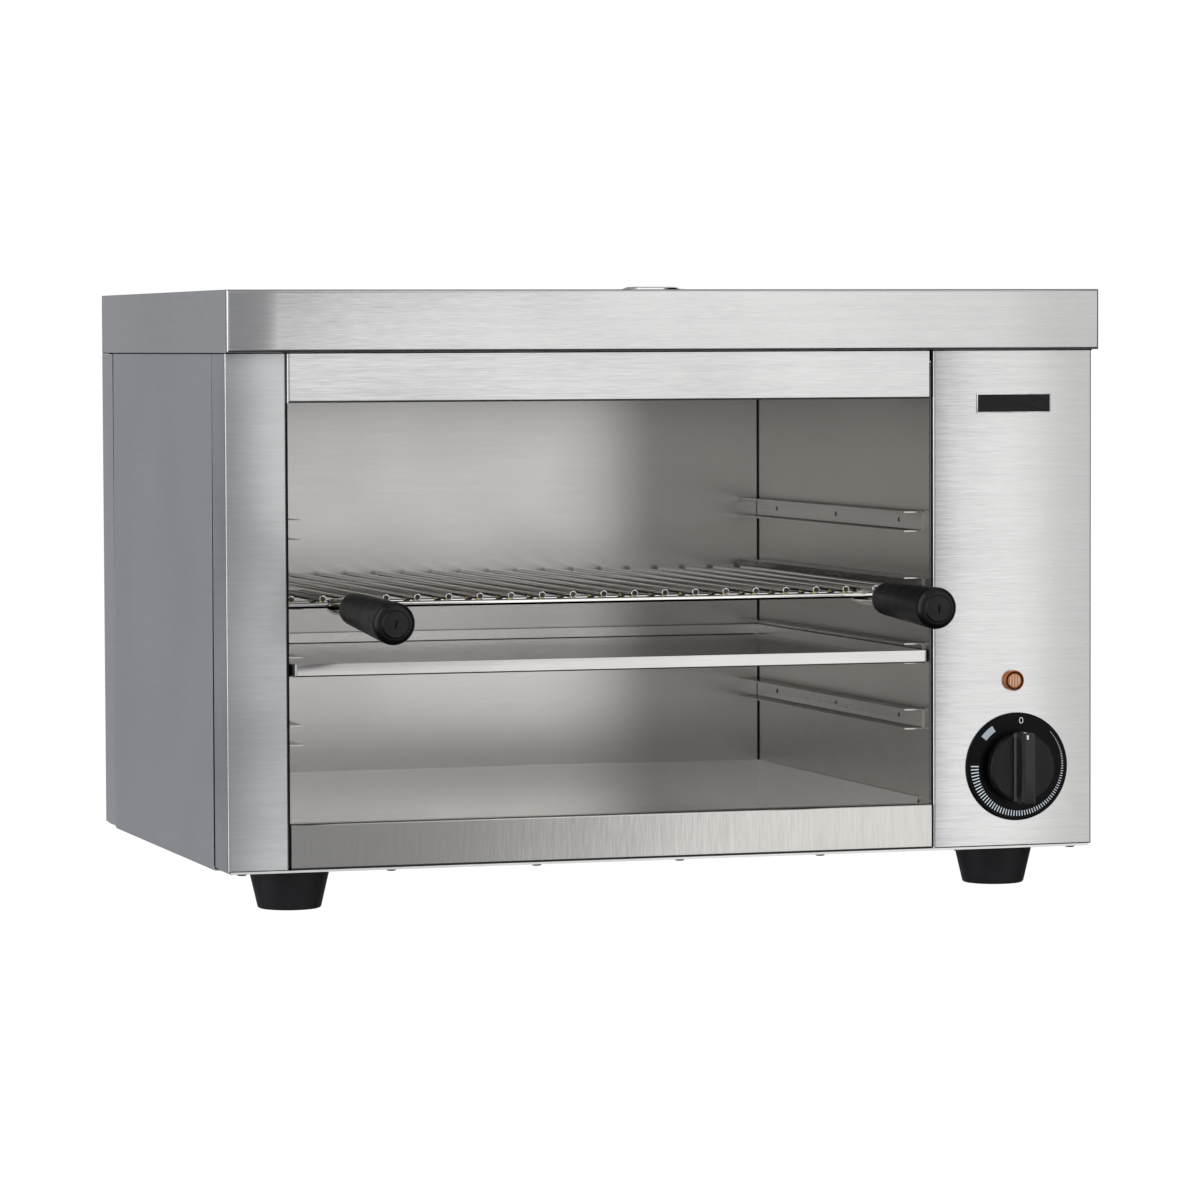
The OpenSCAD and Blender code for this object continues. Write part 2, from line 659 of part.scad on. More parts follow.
grip_rim = 6;                                 // rounding at the front rim
grip_heel = 4;                                // rounding at the rear rim
grip_profile = concat(
    [[0, 0]],
    arc(grip_rear_d / 2 - grip_heel, grip_heel, grip_heel, -90, 0, 5),
    arc(grip_d / 2 - grip_rim, grip_l - grip_boss - grip_rim, grip_rim, 0, 90, 7),
    [[grip_boss_r + 0.8, grip_l - grip_boss], [grip_boss_r + 0.4, grip_l - 0.3],
     [grip_boss_r, grip_l], [0, grip_l]]);

module grip(i)
    color(black) at_grip(i) difference() {
        rotate_extrude() polygon(grip_profile);
        // Slot for the strap's legs, with room for the grip's tilt and turn
        slot = [strap_w + 1 + 2 * strap_in_grip * tan(grip_turns[i]),
                strap_gap + 2 * strap_t + 0.3 + 2 * strap_in_grip * tan(grip_tilts[i])];
        translate([-slot[0] / 2, -slot[1] / 2, -1]) cube([slot[0], slot[1], strap_in_grip + 2]);
        cylinder(d = grip_screw_d + 0.3, h = grip_l + 1);
        translate([0, 0, grip_l - 3.4]) cylinder(d = grip_screw_head_d + 0.4, h = 4);
    }

module left_grip() grip(0);
module right_grip() grip(1);

// A flat strap wrapped round the front wire: its legs part behind the wire and end in the grip
module strap_outline(r, half) {
    hull() {
        circle(r = r);
        translate([-strap_flare, -half]) square([e, 2 * half]);
    }
}

module grip_strap(i)
    color(chrome) translate([grip_xs[i], 0, grip_z]) difference() {
        half = strap_gap / 2 + strap_t;
        legs_y = grip_ys[i] - strap_in_grip - front_wire_y;
        translate([-strap_w / 2, front_wire_y, 0]) rotate([90, 0, 90]) linear_extrude(strap_w)
            difference() {
                union() {
                    strap_outline(front_wire_d / 2 + strap_t, half);
                    translate([legs_y, -half]) square([-strap_flare - legs_y, 2 * half]);
                }
                strap_outline(front_wire_d / 2 + 0.05, strap_gap / 2);
                translate([legs_y - 1, -strap_gap / 2])
                    square([-strap_flare - legs_y + 1.1, strap_gap]);
            }
        translate([0, strap_bolt_y, -half - 1]) cylinder(d = strap_bolt_d + 0.3, h = 2 * half + 2);
    }

module left_grip_strap() grip_strap(0);
module right_grip_strap() grip_strap(1);

// Slotted screws from the grips' ends, and the square nuts between the straps' legs
module grip_screws()
    color(chrome) for (i = [0, 1]) at_grip(i) {
        difference() {
            union() {
                translate([0, 0, grip_l - 3.2]) cylinder(d = grip_screw_head_d, h = 2.6);
                translate([0, 0, 3]) cylinder(d = grip_screw_d, h = grip_l - 6);
            }
            translate([-0.6, -5, grip_l - 1.8]) cube([1.2, 10, 2]);
        }
        difference() {
            translate([-grip_nut[0] / 2, -grip_nut[1] / 2, 6]) cube(grip_nut);
            translate([0, 0, 5]) cylinder(d = grip_screw_d + 0.1, h = 8);
        }
    }

// Rivets with low heads that hold the straps' legs together in front of the wire
module strap_bolts()
    color(chrome) for (x = grip_xs) translate([x, strap_bolt_y, grip_z]) {
        half = strap_gap / 2 + strap_t;
        head = strap_bolt_head[1];
        translate([0, 0, -half - head]) cylinder(d = strap_bolt_d, h = 2 * (half + head));
        for (z = [-half - head, half])
            translate([0, 0, z]) cylinder(d = strap_bolt_head[0], h = head);
    }

// ---------------------------------------------------------------- tray

module sheet_tray()
    color(steel) {
        x = [tray_x1 - tray_w, tray_x1];
        y = [tray_y0, tray_y0 + tray_d];
        z = [tray_z, tray_z + tray_h];
        difference() {
            span(x, y, z);
            span([x[0] + sheet, x[1] - sheet], [y[0] + sheet, y[1] - sheet], [z[0] + sheet, z[1] + 1]);
            for (sx = [0, 1], sy = [0, 1])
                translate([x[sx], y[sy], z[0] - e])
                    fold_cut(tray_h + 2 * e, sx == 0 ? 1 : -1, sy == 0 ? 1 : -1, fold_r);
            translate([x[0] - e, y[0], z[0]]) fold_cut_x(tray_w + 2 * e, 1, 1, 1.2);
        }
    }

// ---------------------------------------------------------------- controls

// Places a turned piece of the control panel: origin on the panel's face, +Z to the user
module on_panel(z) translate([knob_x, face_y, z]) to_front() children();

knob_profile = concat(
    [[0, dial_t + knob_gap], [knob_d / 2 - 0.8, dial_t + knob_gap],
     [knob_d / 2, dial_t + knob_gap + 0.8]],
    arc(knob_d / 2 - 2, knob_face - 1.4, 1.4, 0, 90, 5),
    [[0, knob_face]]);

module control_knob()
    color(black) on_panel(knob_z) difference() {
        union() {
            rotate_extrude($fn = 96) polygon(knob_profile);
            intersection() {
                translate([-bar_w / 2, -bar_l / 2, dial_t + knob_gap + 1])
                    cube([bar_w, bar_l, knob_reach - dial_t - knob_gap - 1]);
                cylinder(d1 = bar_l + 0.6, d2 = bar_l - 0.4, h = knob_reach + 1, $fn = 96);
            }
            translate([-bar_w / 2 - 1.2, 3 - knob_d / 2, knob_face - 3])
                cube([bar_w + 2.4, knob_d - 6, 4]);
        }
        // Round bore for the shaft
        cylinder(d = shaft_d + 0.1, h = knob_reach - 4);
        // White pointer's pocket over the bar's upper end
        translate([pointer_x - pointer_w / 2 - 0.05, bar_l / 2 - 5.5, knob_reach - 1])
            cube([pointer_w + 0.1, 6, 2]);
    }

module knob_pointer()
    color("white") on_panel(knob_z)
        translate([pointer_x - pointer_w / 2, bar_l / 2 - 5.4, knob_reach - 0.95])
            cube([pointer_w, 4.2, 1.05]);

// A flat ring: the regulator's neck and the heads of its screws pass through it
module dial_plate()
    color(black) on_panel(knob_z) difference() {
        rotate_extrude($fn = 96)
            polygon(concat([[6, 0], [6, dial_t]], arc(dial_d / 2 - 1, dial_t - 1, 1, 90, 0, 4),
                           [[dial_d / 2, 0]]));
        for (dx = [-regulator_screw_dx, regulator_screw_dx])
            translate([dx, 0, -1]) cylinder(d = 2 * regulator_screw_d + 1, h = dial_t + 2);
    }

module regulator_body()
    color([0.82, 0.8, 0.74]) difference() {
        union() {
            translate([knob_x - regulator[0] / 2, face_y + sheet, knob_z - regulator[2] / 2])
                cube(regulator);
            translate([knob_x, face_y + sheet, knob_z]) to_front()
                cylinder(d = regulator_neck_d, h = 3.4);
            for (i = [-1:2])
                translate([knob_x + tab_x - 0.4 + tab_pitch * (i + 1),
                           face_y + sheet + regulator[1], knob_z + 14])
                    cube([0.8, 8, 6.3]);
        }
        translate([knob_x, face_y + sheet + 14, knob_z]) to_front()
            cylinder(d = shaft_d + 2 * shaft_fit, h = 30);
        for (dx = [-regulator_screw_dx, regulator_screw_dx])
            translate([knob_x + dx, face_y + sheet + 8, knob_z]) to_front()
                cylinder(d = regulator_screw_d + 0.1, h = 12);
    }

module regulator_shaft()
    color(chrome) on_panel(knob_z)
        translate([0, 0, -sheet - 13.5]) cylinder(d = shaft_d, h = knob_reach - 5 + sheet + 13.5);

module regulator_screws()
    color(chrome) on_panel(knob_z)
        for (dx = [-regulator_screw_dx, regulator_screw_dx])
            translate([dx, 0, 0]) pan_screw(regulator_screw_d, 8);

lens_profile = [[0, 0], [lamp_d / 2, 0], [lamp_d / 2, lamp_reach - 1],
    [lamp_d / 2 - 0.8, lamp_reach], [lamp_d / 2 - 1.8, lamp_reach],
    [lamp_d / 2 - 2.4, lamp_reach - 0.8], [0, lamp_reach - 0.8]];

// Places a piece of the pilot lamp: origin on the panel's face, +Z to the user
module at_lamp() translate([lamp_x, face_y, lamp_z]) to_front() children();

module lamp_lens()
    color(amber) at_lamp() {
        rotate_extrude() polygon(lens_profile);
        for (i = [-1:1])
            translate([i * 2.4 - 0.6, -3.2, lamp_reach - 0.9]) cube([1.2, 6.4, 0.8]);
    }

module lamp_holder()
    color([0.85, 0.84, 0.8]) at_lamp() {
        translate([0, 0, -26]) cylinder(d = lamp_holder_d, h = 26);
        translate([0, 0, -sheet - 3]) cylinder(d = 17, h = 3);
        for (dx = [-3, 3]) translate([dx - 0.4, -2.4, -34]) cube([0.8, 4.8, 8 + e]);
    }

module name_plate()
    color([0.13, 0.13, 0.14]) translate([services_x, face_y - plate_size[1] / 2, plate_z])
        cube(plate_size, center = true);

// ---------------------------------------------------------------- wiring

module terminal_block()
    color([0.9, 0.89, 0.85]) translate(terminal_pos) difference() {
        translate([-24, -10, 0]) cube([48, 20, 18]);
        for (i = [-1:1]) translate([15 * i, 0, 8]) cylinder(d = 5, h = 11);
    }

module cable_gland()
    color(black) translate([services_x, back_y, gland_z]) to_front() difference() {
        union() {
            translate([0, 0, -3]) cylinder(d = gland_flange_d, h = 3);
            translate([0, 0, -gland_reach]) cylinder(d = 20, h = gland_reach - 2);
            translate([0, 0, -3]) cylinder(d = gland_thread_d, h = 17);
            translate([0, 0, sheet]) cylinder(d = gland_flange_d, h = 5, $fn = 6);
        }
        translate([0, 0, -gland_reach - 1]) cylinder(d = 8, h = gland_reach + 20);
    }

// Points of a smooth curve through a list of points
function bend(p, steps = 4) = [for (i = [0:len(p) - 2], j = [0:steps - 1])
    let (a = p[max(i - 1, 0)], b = p[i], c = p[i + 1], d = p[min(i + 2, len(p) - 1)], t = j / steps)
    0.5 * (2 * b + (c - a) * t + (2 * a - 5 * b + 4 * c - d) * t * t
           + (3 * b - 3 * c + d - a) * t * t * t), p[len(p) - 1]];

// A tube with n sides along a curve
module wire(points, d = 2.4, n = 6) {
    path = bend(points);
    last = len(path) - 1;
    rings = [for (i = [0:last])
        let (dir = path[min(i + 1, last)] - path[max(i - 1, 0)],
             u = cross(dir, [0.31, 0.17, 0.02] * 100), v = cross(dir, u))
        for (k = [0:n - 1])
            path[i] + d / 2 * (u / norm(u) * cos(360 * k / n) + v / norm(v) * sin(360 * k / n))];
    polyhedron(rings, concat(
        [[for (k = [n - 1:-1:0]) k]],
        [for (i = [0:last - 1], k = [0:n - 1]) let (m = (k + 1) % n)
            [i * n + k, i * n + m, (i + 1) * n + m, (i + 1) * n + k]],
        [[for (k = [0:n - 1]) last * n + k]]));
}

module wiring()
    color([0.75, 0.2, 0.15]) {
        // Terminal block to the regulator
        for (i = [0, 1])
            wire([terminal_pos + [15 * i - 15, -8, 12], terminal_pos + [15 * i - 15, -60, 30],
                  [knob_x + tab_x + tab_pitch * i, regulator_tab_y + 40, knob_z + 17],
                  [knob_x + tab_x + tab_pitch * i, regulator_tab_y, knob_z + 17]]);
        // Regulator to the elements
        for (i = [0, 1])
            wire([[knob_x + tab_x + tab_pitch * (i + 2), regulator_tab_y, knob_z + 17],
                  [knob_x + tab_x + tab_pitch * (i + 2), regulator_tab_y + 22 + 8 * i, knob_z + 40],
                  [knob_x + tab_pitch * i, regulator_tab_y + 40 + 8 * i, element_z - 40],
                  [element_tab_x + 8, element_ys[i] - element_r, element_z - 8],
                  [element_tab_x, element_ys[i] - element_r, element_z]]);
        // Link from each element to the next, and its return to the terminal block
        for (i = [0, 1])
            wire([[element_tab_x, element_ys[i] + element_r, element_z],
                  [element_tab_x + 10 + 5 * i, element_ys[i] + element_r + 8, element_z - 14],
                  terminal_pos + [15 + 4 * i, -20, 60],
                  terminal_pos + [15 + 4 * i, -4, 14]]);
        // Pilot lamp
        for (i = [0, 1])
            wire([[lamp_x - 3 + 6 * i, face_y + 32, lamp_z],
                  [lamp_x - 3 + 6 * i, face_y + 46, lamp_z - 8],
                  [knob_x + tab_x + 3 * tab_pitch * i, regulator_tab_y + 10 + 4 * i, knob_z + 28],
                  [knob_x + tab_x + 3 * tab_pitch * i, regulator_tab_y - 1, knob_z + 19.4]], 1.8);
    }

// ---------------------------------------------------------------- feet and fasteners

module foot(i)
    color(black) translate([feet[i][0], feet[i][1], 0]) difference() {
        cylinder(d1 = foot_d, d2 = foot_top_d, h = foot_h);
        translate([0, 0, -1]) cylinder(d = foot_recess[0], h = foot_recess[1] + 1);
        translate([0, 0, -1]) cylinder(d = foot_screw_d + 0.3, h = foot_h + 2);
    }

module front_left_foot() foot(0);
module front_right_foot() foot(1);
module rear_left_foot() foot(2);
module rear_right_foot() foot(3);

module foot_screws()
    color(chrome) for (p = feet)
        translate([p[0], p[1], foot_recess[1]]) rotate([180, 0, 0])
            pan_screw(foot_screw_d, foot_h - foot_recess[1] + base_t);

module base_screws()
    color(chrome) {
        for (x = front_screw_xs) translate([x, screw_y, foot_h])
            rotate([180, 0, 0]) pan_screw(screw_d, 7);
        for (x = rear_screw_xs) translate([x, rear_screw_y, foot_h])
            rotate([180, 0, 0]) pan_screw(screw_d, 7);
        for (s = [-1, 1], p = side_screws) translate([s * p[0], p[1], foot_h - sheet])
            rotate([180, 0, 0]) pan_screw(screw_d, 7);
    }

module cover_screws()
    color(chrome) for (x = cover_screw_xs) translate([x, cover_y1, cover_screw_z])
        rotate([-90, 0, 0]) pan_screw(screw_d, 7);

top_cover();
top_vent();
left_side_panel();
right_side_panel();
rear_panel();
left_pillar();
upper_fascia();
lower_strip();
control_panel();
base_plate();
cavity_back();
cavity_left_wall();
cavity_right_wall();
crumb_pan();
ceiling_reflector();
left_runner_1();
left_runner_2();
left_runner_3();
left_runner_4();
right_runner_1();
right_runner_2();
right_runner_3();
right_runner_4();
runner_rivets();
front_element();
rear_element();
element_hangers();
element_bushes();
element_terminals();
insulation();
rack_rods();
rack_cross_wires();
left_grip();
right_grip();
left_grip_strap();
right_grip_strap();
grip_screws();
strap_bolts();
sheet_tray();
control_knob();
knob_pointer();
dial_plate();
regulator_body();
regulator_shaft();
regulator_screws();
lamp_lens();
lamp_holder();
name_plate();
terminal_block();
cable_gland();
wiring();
front_left_foot();
front_right_foot();
rear_left_foot();
rear_right_foot();
foot_screws();
base_screws();
cover_screws();
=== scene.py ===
# %% [markdown]
# # A countertop cheese melter, dressed for its portrait
#
# The construction is finished before this lesson starts: every sheet, rod, screw and foot comes in
# as a frame of plain solids at their real size. What is left is what the eye wants: folds that
# catch the light, brushed and satin steel, chrome wire, moulded grips and a printed dial.
# Everything is measured in millimetres here and turned into metres when a mesh is made.

# %% Load the frame
import json
import math
from functools import reduce

import bmesh
import bpy
from mathutils import Matrix, Vector


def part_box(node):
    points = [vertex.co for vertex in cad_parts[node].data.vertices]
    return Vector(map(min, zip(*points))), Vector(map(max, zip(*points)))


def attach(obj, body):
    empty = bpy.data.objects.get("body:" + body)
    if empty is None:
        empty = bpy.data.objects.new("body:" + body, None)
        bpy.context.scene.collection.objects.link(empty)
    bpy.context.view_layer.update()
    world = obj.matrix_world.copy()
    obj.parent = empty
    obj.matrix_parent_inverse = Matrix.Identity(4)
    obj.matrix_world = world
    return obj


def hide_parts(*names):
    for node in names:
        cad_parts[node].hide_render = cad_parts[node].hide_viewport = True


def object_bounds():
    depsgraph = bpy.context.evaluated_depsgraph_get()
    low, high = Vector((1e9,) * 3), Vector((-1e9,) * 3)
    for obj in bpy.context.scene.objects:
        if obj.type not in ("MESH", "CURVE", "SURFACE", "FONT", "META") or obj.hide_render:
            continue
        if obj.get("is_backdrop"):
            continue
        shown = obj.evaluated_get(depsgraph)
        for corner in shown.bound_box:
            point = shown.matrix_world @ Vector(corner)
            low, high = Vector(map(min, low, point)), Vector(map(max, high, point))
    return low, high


MM = 0.001
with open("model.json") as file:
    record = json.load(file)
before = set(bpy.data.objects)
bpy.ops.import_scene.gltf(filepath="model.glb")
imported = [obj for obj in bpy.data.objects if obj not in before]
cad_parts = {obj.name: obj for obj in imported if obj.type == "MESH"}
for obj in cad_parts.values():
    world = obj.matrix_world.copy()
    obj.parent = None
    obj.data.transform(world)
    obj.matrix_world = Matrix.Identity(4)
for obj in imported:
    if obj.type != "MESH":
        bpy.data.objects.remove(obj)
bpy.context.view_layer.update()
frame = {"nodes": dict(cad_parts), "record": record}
record = frame["record"]
BODY_OF = {node: body for body, nodes in record["behaviour"]["bodies"].items() for node in nodes}


def box_mm(*nodes):
    """Lowest and highest corner of some nodes together, in millimetres."""
    corners = [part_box(node) for node in nodes]
    low = [min(corner[0][i] for corner in corners) / MM for i in range(3)]
    high = [max(corner[1][i] for corner in corners) / MM for i in range(3)]
    return Vector(low), Vector(high)


# %% [markdown]
# ## The camera
#
# The photograph was taken from about three and a half metres with a long lens, a little to the
# left of the machine and level with its top. A long lens keeps the upright edges nearly parallel.
# The place was worked out from the edges of the casing, so it is given here relative to the top
# cover, with the direction as three angles. A camera looks along its own -Z with +Y upwards, so
# its three axes go into the columns of a matrix.

# %% Camera
CAMERA_FROM_COVER = Vector((-1057.2, -3454.7))     # in plan, from the middle of the cover
CAMERA_HEIGHT = 373.15
YAW, PITCH, ROLL = (math.radians(angle) for angle in (17.1547, 2.8428, -0.2274))
LENS, SENSOR = 154.08, 36
FAR = 50                                           # how far it sees, in metres

cover_low, cover_high = box_mm("top_cover")
cover_middle = (cover_low + cover_high) / 2
forward = Vector((math.sin(YAW) * math.cos(PITCH), math.cos(YAW) * math.cos(PITCH),
                  -math.sin(PITCH)))
level = Vector((math.cos(YAW), -math.sin(YAW), 0))
upward = level.cross(forward)
camera_x = level * math.cos(ROLL) + upward * math.sin(ROLL)
camera_y = upward * math.cos(ROLL) - level * math.sin(ROLL)

camera_data = bpy.data.cameras.new("portrait")
camera_data.lens = LENS
camera_data.sensor_width = SENSOR
camera_data.clip_end = FAR
camera = bpy.data.objects.new("portrait", camera_data)
place = Matrix((camera_x, camera_y, -forward)).transposed().to_4x4()
place.translation = (*(cover_middle.xy + CAMERA_FROM_COVER) * MM, CAMERA_HEIGHT * MM)
camera.matrix_world = place
bpy.context.scene.collection.objects.link(camera)
bpy.context.scene.camera = camera
print("the camera stands", round((place.translation - cover_middle * MM).length, 2), "m away")

# %% [markdown]
# ## Helpers for nodes
#
# Shaders, the studio and the Geometry Nodes trees below are all made of nodes. `fill` gives a
# node its inputs, as numbers, colours or links, and `add` makes a node and fills it. A socket
# knows its own tree, so the helpers that start from a socket ask for nothing else.


# %% A node in one line
def is_socket(value):
    """Whether a value comes from another node."""
    return isinstance(value, bpy.types.NodeSocket)


def fill(node, inputs):
    """Links an input where the value is a socket, and sets it otherwise."""
    for key, value in inputs.items():
        socket = node.inputs[key]
        if is_socket(value):
            value.id_data.links.new(value, socket)
        else:
            socket.default_value = (*value, 1) if socket.type == "RGBA" else value


def add(tree, kind, inputs=None, **settings):
    """Adds a node; a geometry tree borrows the nodes that it lacks from the shaders."""
    family = "ShaderNode" if tree.type == "SHADER" else "GeometryNode"
    if not hasattr(bpy.types, family + kind):
        family = "ShaderNode"
    node = tree.nodes.new(family + kind)
    for key, value in settings.items():
        setattr(node, key, value)
    fill(node, inputs or {})
    return node


def calculate(operation, *values):
    """A Math node's result."""
    tree = next(filter(is_socket, values)).id_data
    return add(tree, "Math", dict(enumerate(values)), operation=operation).outputs[0]


def times(*values):
    """The product of some values."""
    return reduce(lambda first, second: calculate("MULTIPLY", first, second), values)


def plus(*values):
    """The sum of some values."""
    return reduce(lambda first, second: calculate("ADD", first, second), values)


def minus(first, second):
    """The difference of two values."""
    return calculate("SUBTRACT", first, second)


def split(vector):
    """The three parts of a vector, by their letters."""
    return add(vector.id_data, "SeparateXYZ", {0: vector}).outputs


def ramp(value, start, end, low=0.0, high=1.0, smooth=True):
    """Maps a value from one range to another, held at both ends."""
    return add(value.id_data, "MapRange", {"Value": value, "From Min": start, "From Max": end,
                                           "To Min": low, "To Max": high},
               interpolation_type="SMOOTHSTEP" if smooth else "LINEAR").outputs["Result"]


def blend_colours(factor, first, second):
    """A colour between two others."""
    return add(factor.id_data, "Mix", {0: factor, 6: first, 7: second},
               data_type="RGBA").outputs[2]


# %% [markdown]
# ## The studio
#
# Bare steel has hardly a colour of its own: it shows the room. The photographer had a large soft
# light to the right of the front, one to the left that draws the white lines on the upright
# folds, a dark gap behind that one, and a grey room behind the machine, which the side panels
# show. Those lights could be area lamps, but a studio painted on the sky by direction is
# steadier, because a flat sheet then shows the same tone from edge to edge. Each softbox is a
# soft-edged window in azimuth (0 is in front, plus is to the right) and in elevation.

# %% Studio
SOFTBOXES = [  # name, azimuths and their softness, elevations and theirs, colour, strength
    ("front right softbox", (12.4, 26), 1.7, (-24, 62), 8, (1.0, 0.998, 0.99), 1.08),
    ("its dimmer rim", (26, 62), 1.7, (-24, 62), 8, (1.0, 0.995, 0.985), 0.75),
    ("room in front", (-50, 13), 5, (-24, 60), 8, (0.96, 0.97, 1.0), 0.28),
    ("fill card in front on the left", (-42, -10), 3, (-26, 45), 6, (1.0, 0.985, 0.965), 0.28),
    ("left softbox", (-108, -54), 3, (-18, 60), 6, (0.97, 0.985, 1.0), 1.7),
    ("wall behind on the left", (-180, -148), 5, (-34, 60), 10, (0.92, 0.945, 1.0), 0.31),
    ("wall behind on the right", (125, 180), 10, (-34, 60), 10, (0.96, 0.98, 1.0), 0.28),
    ("light over the top", (-180, 180), 0, (66, 90), 8, (1.0, 1.0, 1.0), 0.3),
]
ROOM_COLOUR = (0.95, 0.97, 1.0)
ROOM_STRENGTH = 0.045
BACKGROUND = 1.02

world = bpy.data.worlds.new("studio")
bpy.context.scene.world = world
world.use_nodes = True
sky = world.node_tree
sky.nodes.clear()
direction = split(add(sky, "TexCoord").outputs["Generated"])
azimuth = calculate("DEGREES", calculate("ARCTAN2", direction["X"], times(direction["Y"], -1.0)))
elevation = calculate("DEGREES", calculate("ARCSINE", direction["Z"]))
light = add(sky, "Background", {"Color": ROOM_COLOUR, "Strength": ROOM_STRENGTH}).outputs[0]
for title, across, blur, height, rise_blur, colour, strength in SOFTBOXES:
    window = strength
    for angle, (start, end), softness in ((azimuth, across, blur), (elevation, height, rise_blur)):
        if end - start < 360:
            rise = ramp(angle, start - softness, start + softness)
            fall = ramp(angle, end - softness, end + softness, 1.0, 0.0)
            window = times(rise, fall, window)
    lamp = add(sky, "Background", {"Color": colour, "Strength": window}, label=title)
    light = add(sky, "AddShader", {0: light, 1: lamp.outputs[0]}).outputs[0]
paper = add(sky, "Background", {"Color": (1, 1, 1), "Strength": BACKGROUND})
seen = add(sky, "MixShader", {0: add(sky, "LightPath").outputs["Is Camera Ray"], 1: light,
                              2: paper.outputs[0]})
add(sky, "OutputWorld", {"Surface": seen.outputs[0]})
bpy.context.scene.view_settings.view_transform = "Standard"
print("the studio has", len(SOFTBOXES), "softboxes")

# %% [markdown]
# ## Meshes
#
# Every piece goes through a few helpers. `piece_from` turns a bmesh in millimetres into an object
# at the origin with its place in its mesh, and `keep_result` turns what its modifiers do into
# plain mesh. `stand_for` lets a piece ride on the body of the node that it stands for, and
# `go_with` lets a detail ride along.


# %% From millimetres to an object
def smooth(mesh, angle=35):
    """Shades a mesh smooth, apart from edges sharper than the angle in degrees."""
    mesh.shade_smooth()
    mesh.set_sharp_from_angle(angle=math.radians(angle))


def piece_from(name, shape, *materials, angle=35):
    """An object from a bmesh in millimetres."""
    mesh = bpy.data.meshes.new(name)
    bmesh.ops.scale(shape, vec=(MM, MM, MM), verts=shape.verts)
    shape.to_mesh(mesh)
    shape.free()
    for material in materials:
        mesh.materials.append(material)
    smooth(mesh, angle)
    piece = bpy.data.objects.new(name, mesh)
    bpy.context.scene.collection.objects.link(piece)
    return piece


def keep_result(piece):
    """Replaces a piece's mesh by what its modifiers make of it, and drops the modifiers."""
    ready = piece.evaluated_get(bpy.context.evaluated_depsgraph_get())
    mesh = bpy.data.meshes.new_from_object(ready)
    piece.modifiers.clear()
    piece.data = mesh


def stand_for(piece, *nodes):
    """The piece rides where these nodes ride, and is shown instead of them."""
    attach(piece, BODY_OF[nodes[0]])
    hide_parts(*nodes)
    return piece


def go_with(piece, node):
    """The piece is a detail on a node: it rides along and hides nothing."""
    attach(piece, BODY_OF[node])
    return piece


# %% [markdown]
# ## Folded sheets, eased
#
# The folds are already round in the frame, but every cut edge of its solids is perfectly sharp,
# and a perfectly sharp edge never catches light. A copy of the node's mesh is merged into one
# skin, its flat faces are joined, and a fine bevel breaks the edges. Hardened normals keep the
# flat faces dead flat in the shading, which matters more on steel than anywhere else.


# %% A node with broken edges
def eased(node, material, edge=0.15, angle=30):
    """A copy of a node whose sharp edges are broken by a bevel of that width."""
    shape = bmesh.new()
    shape.from_mesh(frame["nodes"][node].data)
    bmesh.ops.remove_doubles(shape, verts=shape.verts, dist=1e-6)
    bmesh.ops.dissolve_limit(shape, angle_limit=math.radians(0.5), verts=shape.verts,
                             edges=shape.edges)
    for face in shape.faces:
        face.material_index = 0
    bmesh.ops.scale(shape, vec=(1 / MM,) * 3, verts=shape.verts)
    piece = piece_from(node + "_eased", shape, material, angle=angle)
    bevel = piece.modifiers.new("broken edges", "BEVEL")
    bevel.width = edge * MM
    bevel.segments = 2
    bevel.limit_method = "ANGLE"
    bevel.angle_limit = math.radians(angle)
    bevel.harden_normals = True
    bevel.use_clamp_overlap = True
    keep_result(piece)
    return stand_for(piece, node)


# %% [markdown]
# ## Brushed steel
#
# A belt draws the grain in hair-fine lines a few centimetres long. The pattern is noise squeezed
# across the grain and drawn out along it: a fine layer for the hairs, a broader one for the passes
# of the belt, and a soft cloudy one for handling. It is read from object coordinates in metres, so
# the hairs keep their real size on every sheet and run on round every fold. Grain also spreads a
# reflection across itself and leaves it crisp along itself: the anisotropy does that, and its
# tangent points across the grain. Thin sheet is never quite flat, so a very long wave tilts it:
# that is the bow that darkens one end of a front. Last, the hairs and the clouds turn the surface
# a little sideways, so that the streaks show light and dark against the softbox's edge.


# %% Materials and noise
def principled(name, values):
    """A material with constants on the shader's own sockets; also its shader and coordinates."""
    material = bpy.data.materials.new(name)
    material.use_nodes = True
    shader = material.node_tree.nodes["Principled BSDF"]
    fill(shader, values)
    return material, shader, add(material.node_tree, "TexCoord").outputs["Object"]


def noise(place, scale, detail, rough=0.5):
    """A cloudy value between 0 and 1."""
    return add(place.id_data, "TexNoise", {"Vector": place, "Scale": scale, "Detail": detail,
                                           "Roughness": rough}).outputs["Fac"]


def streaks(place, across, length, width, detail):
    """Noise with features of that width across one axis and that length along the others, in mm."""
    scale = [1 / (length * MM)] * 3
    scale[across] = 1 / (width * MM)
    drawn = add(place.id_data, "Mapping", {"Vector": place, "Scale": scale})
    return noise(drawn.outputs[0], 1.0, detail, rough=0.6)


def swing(value, size, middle=0.0):
    """A noise spread to either side of a middle value."""
    return ramp(value, 0.3, 0.7, middle - size, middle + size)


def bumped(height, strength, distance, **under):
    """A normal tilted by a height in metres, over another normal where one is given."""
    return add(height.id_data, "Bump", {"Height": height, "Strength": strength,
                                        "Distance": distance, **under}).outputs[0]


def facing(shader):
    """The direction in which the surface looks, by its parts."""
    return split(add(shader.id_data, "NewGeometry").outputs["Normal"])


# %% Brushed steel
HAIRS, PASSES = (16, 0.5, 3.0), (160, 4.0, 2.0)     # length and width in mm, and detail
HAIR_TILT, CLOUD_TILT = 0.0045, 0.004               # how far hairs and clouds turn a front sideways
HAIR_DEPTH, CLOUD_DEPTH = 0.004, 0.12               # in mm
DARKEST, LIGHTEST = 0.90, 1.08                      # of the steel's own colour


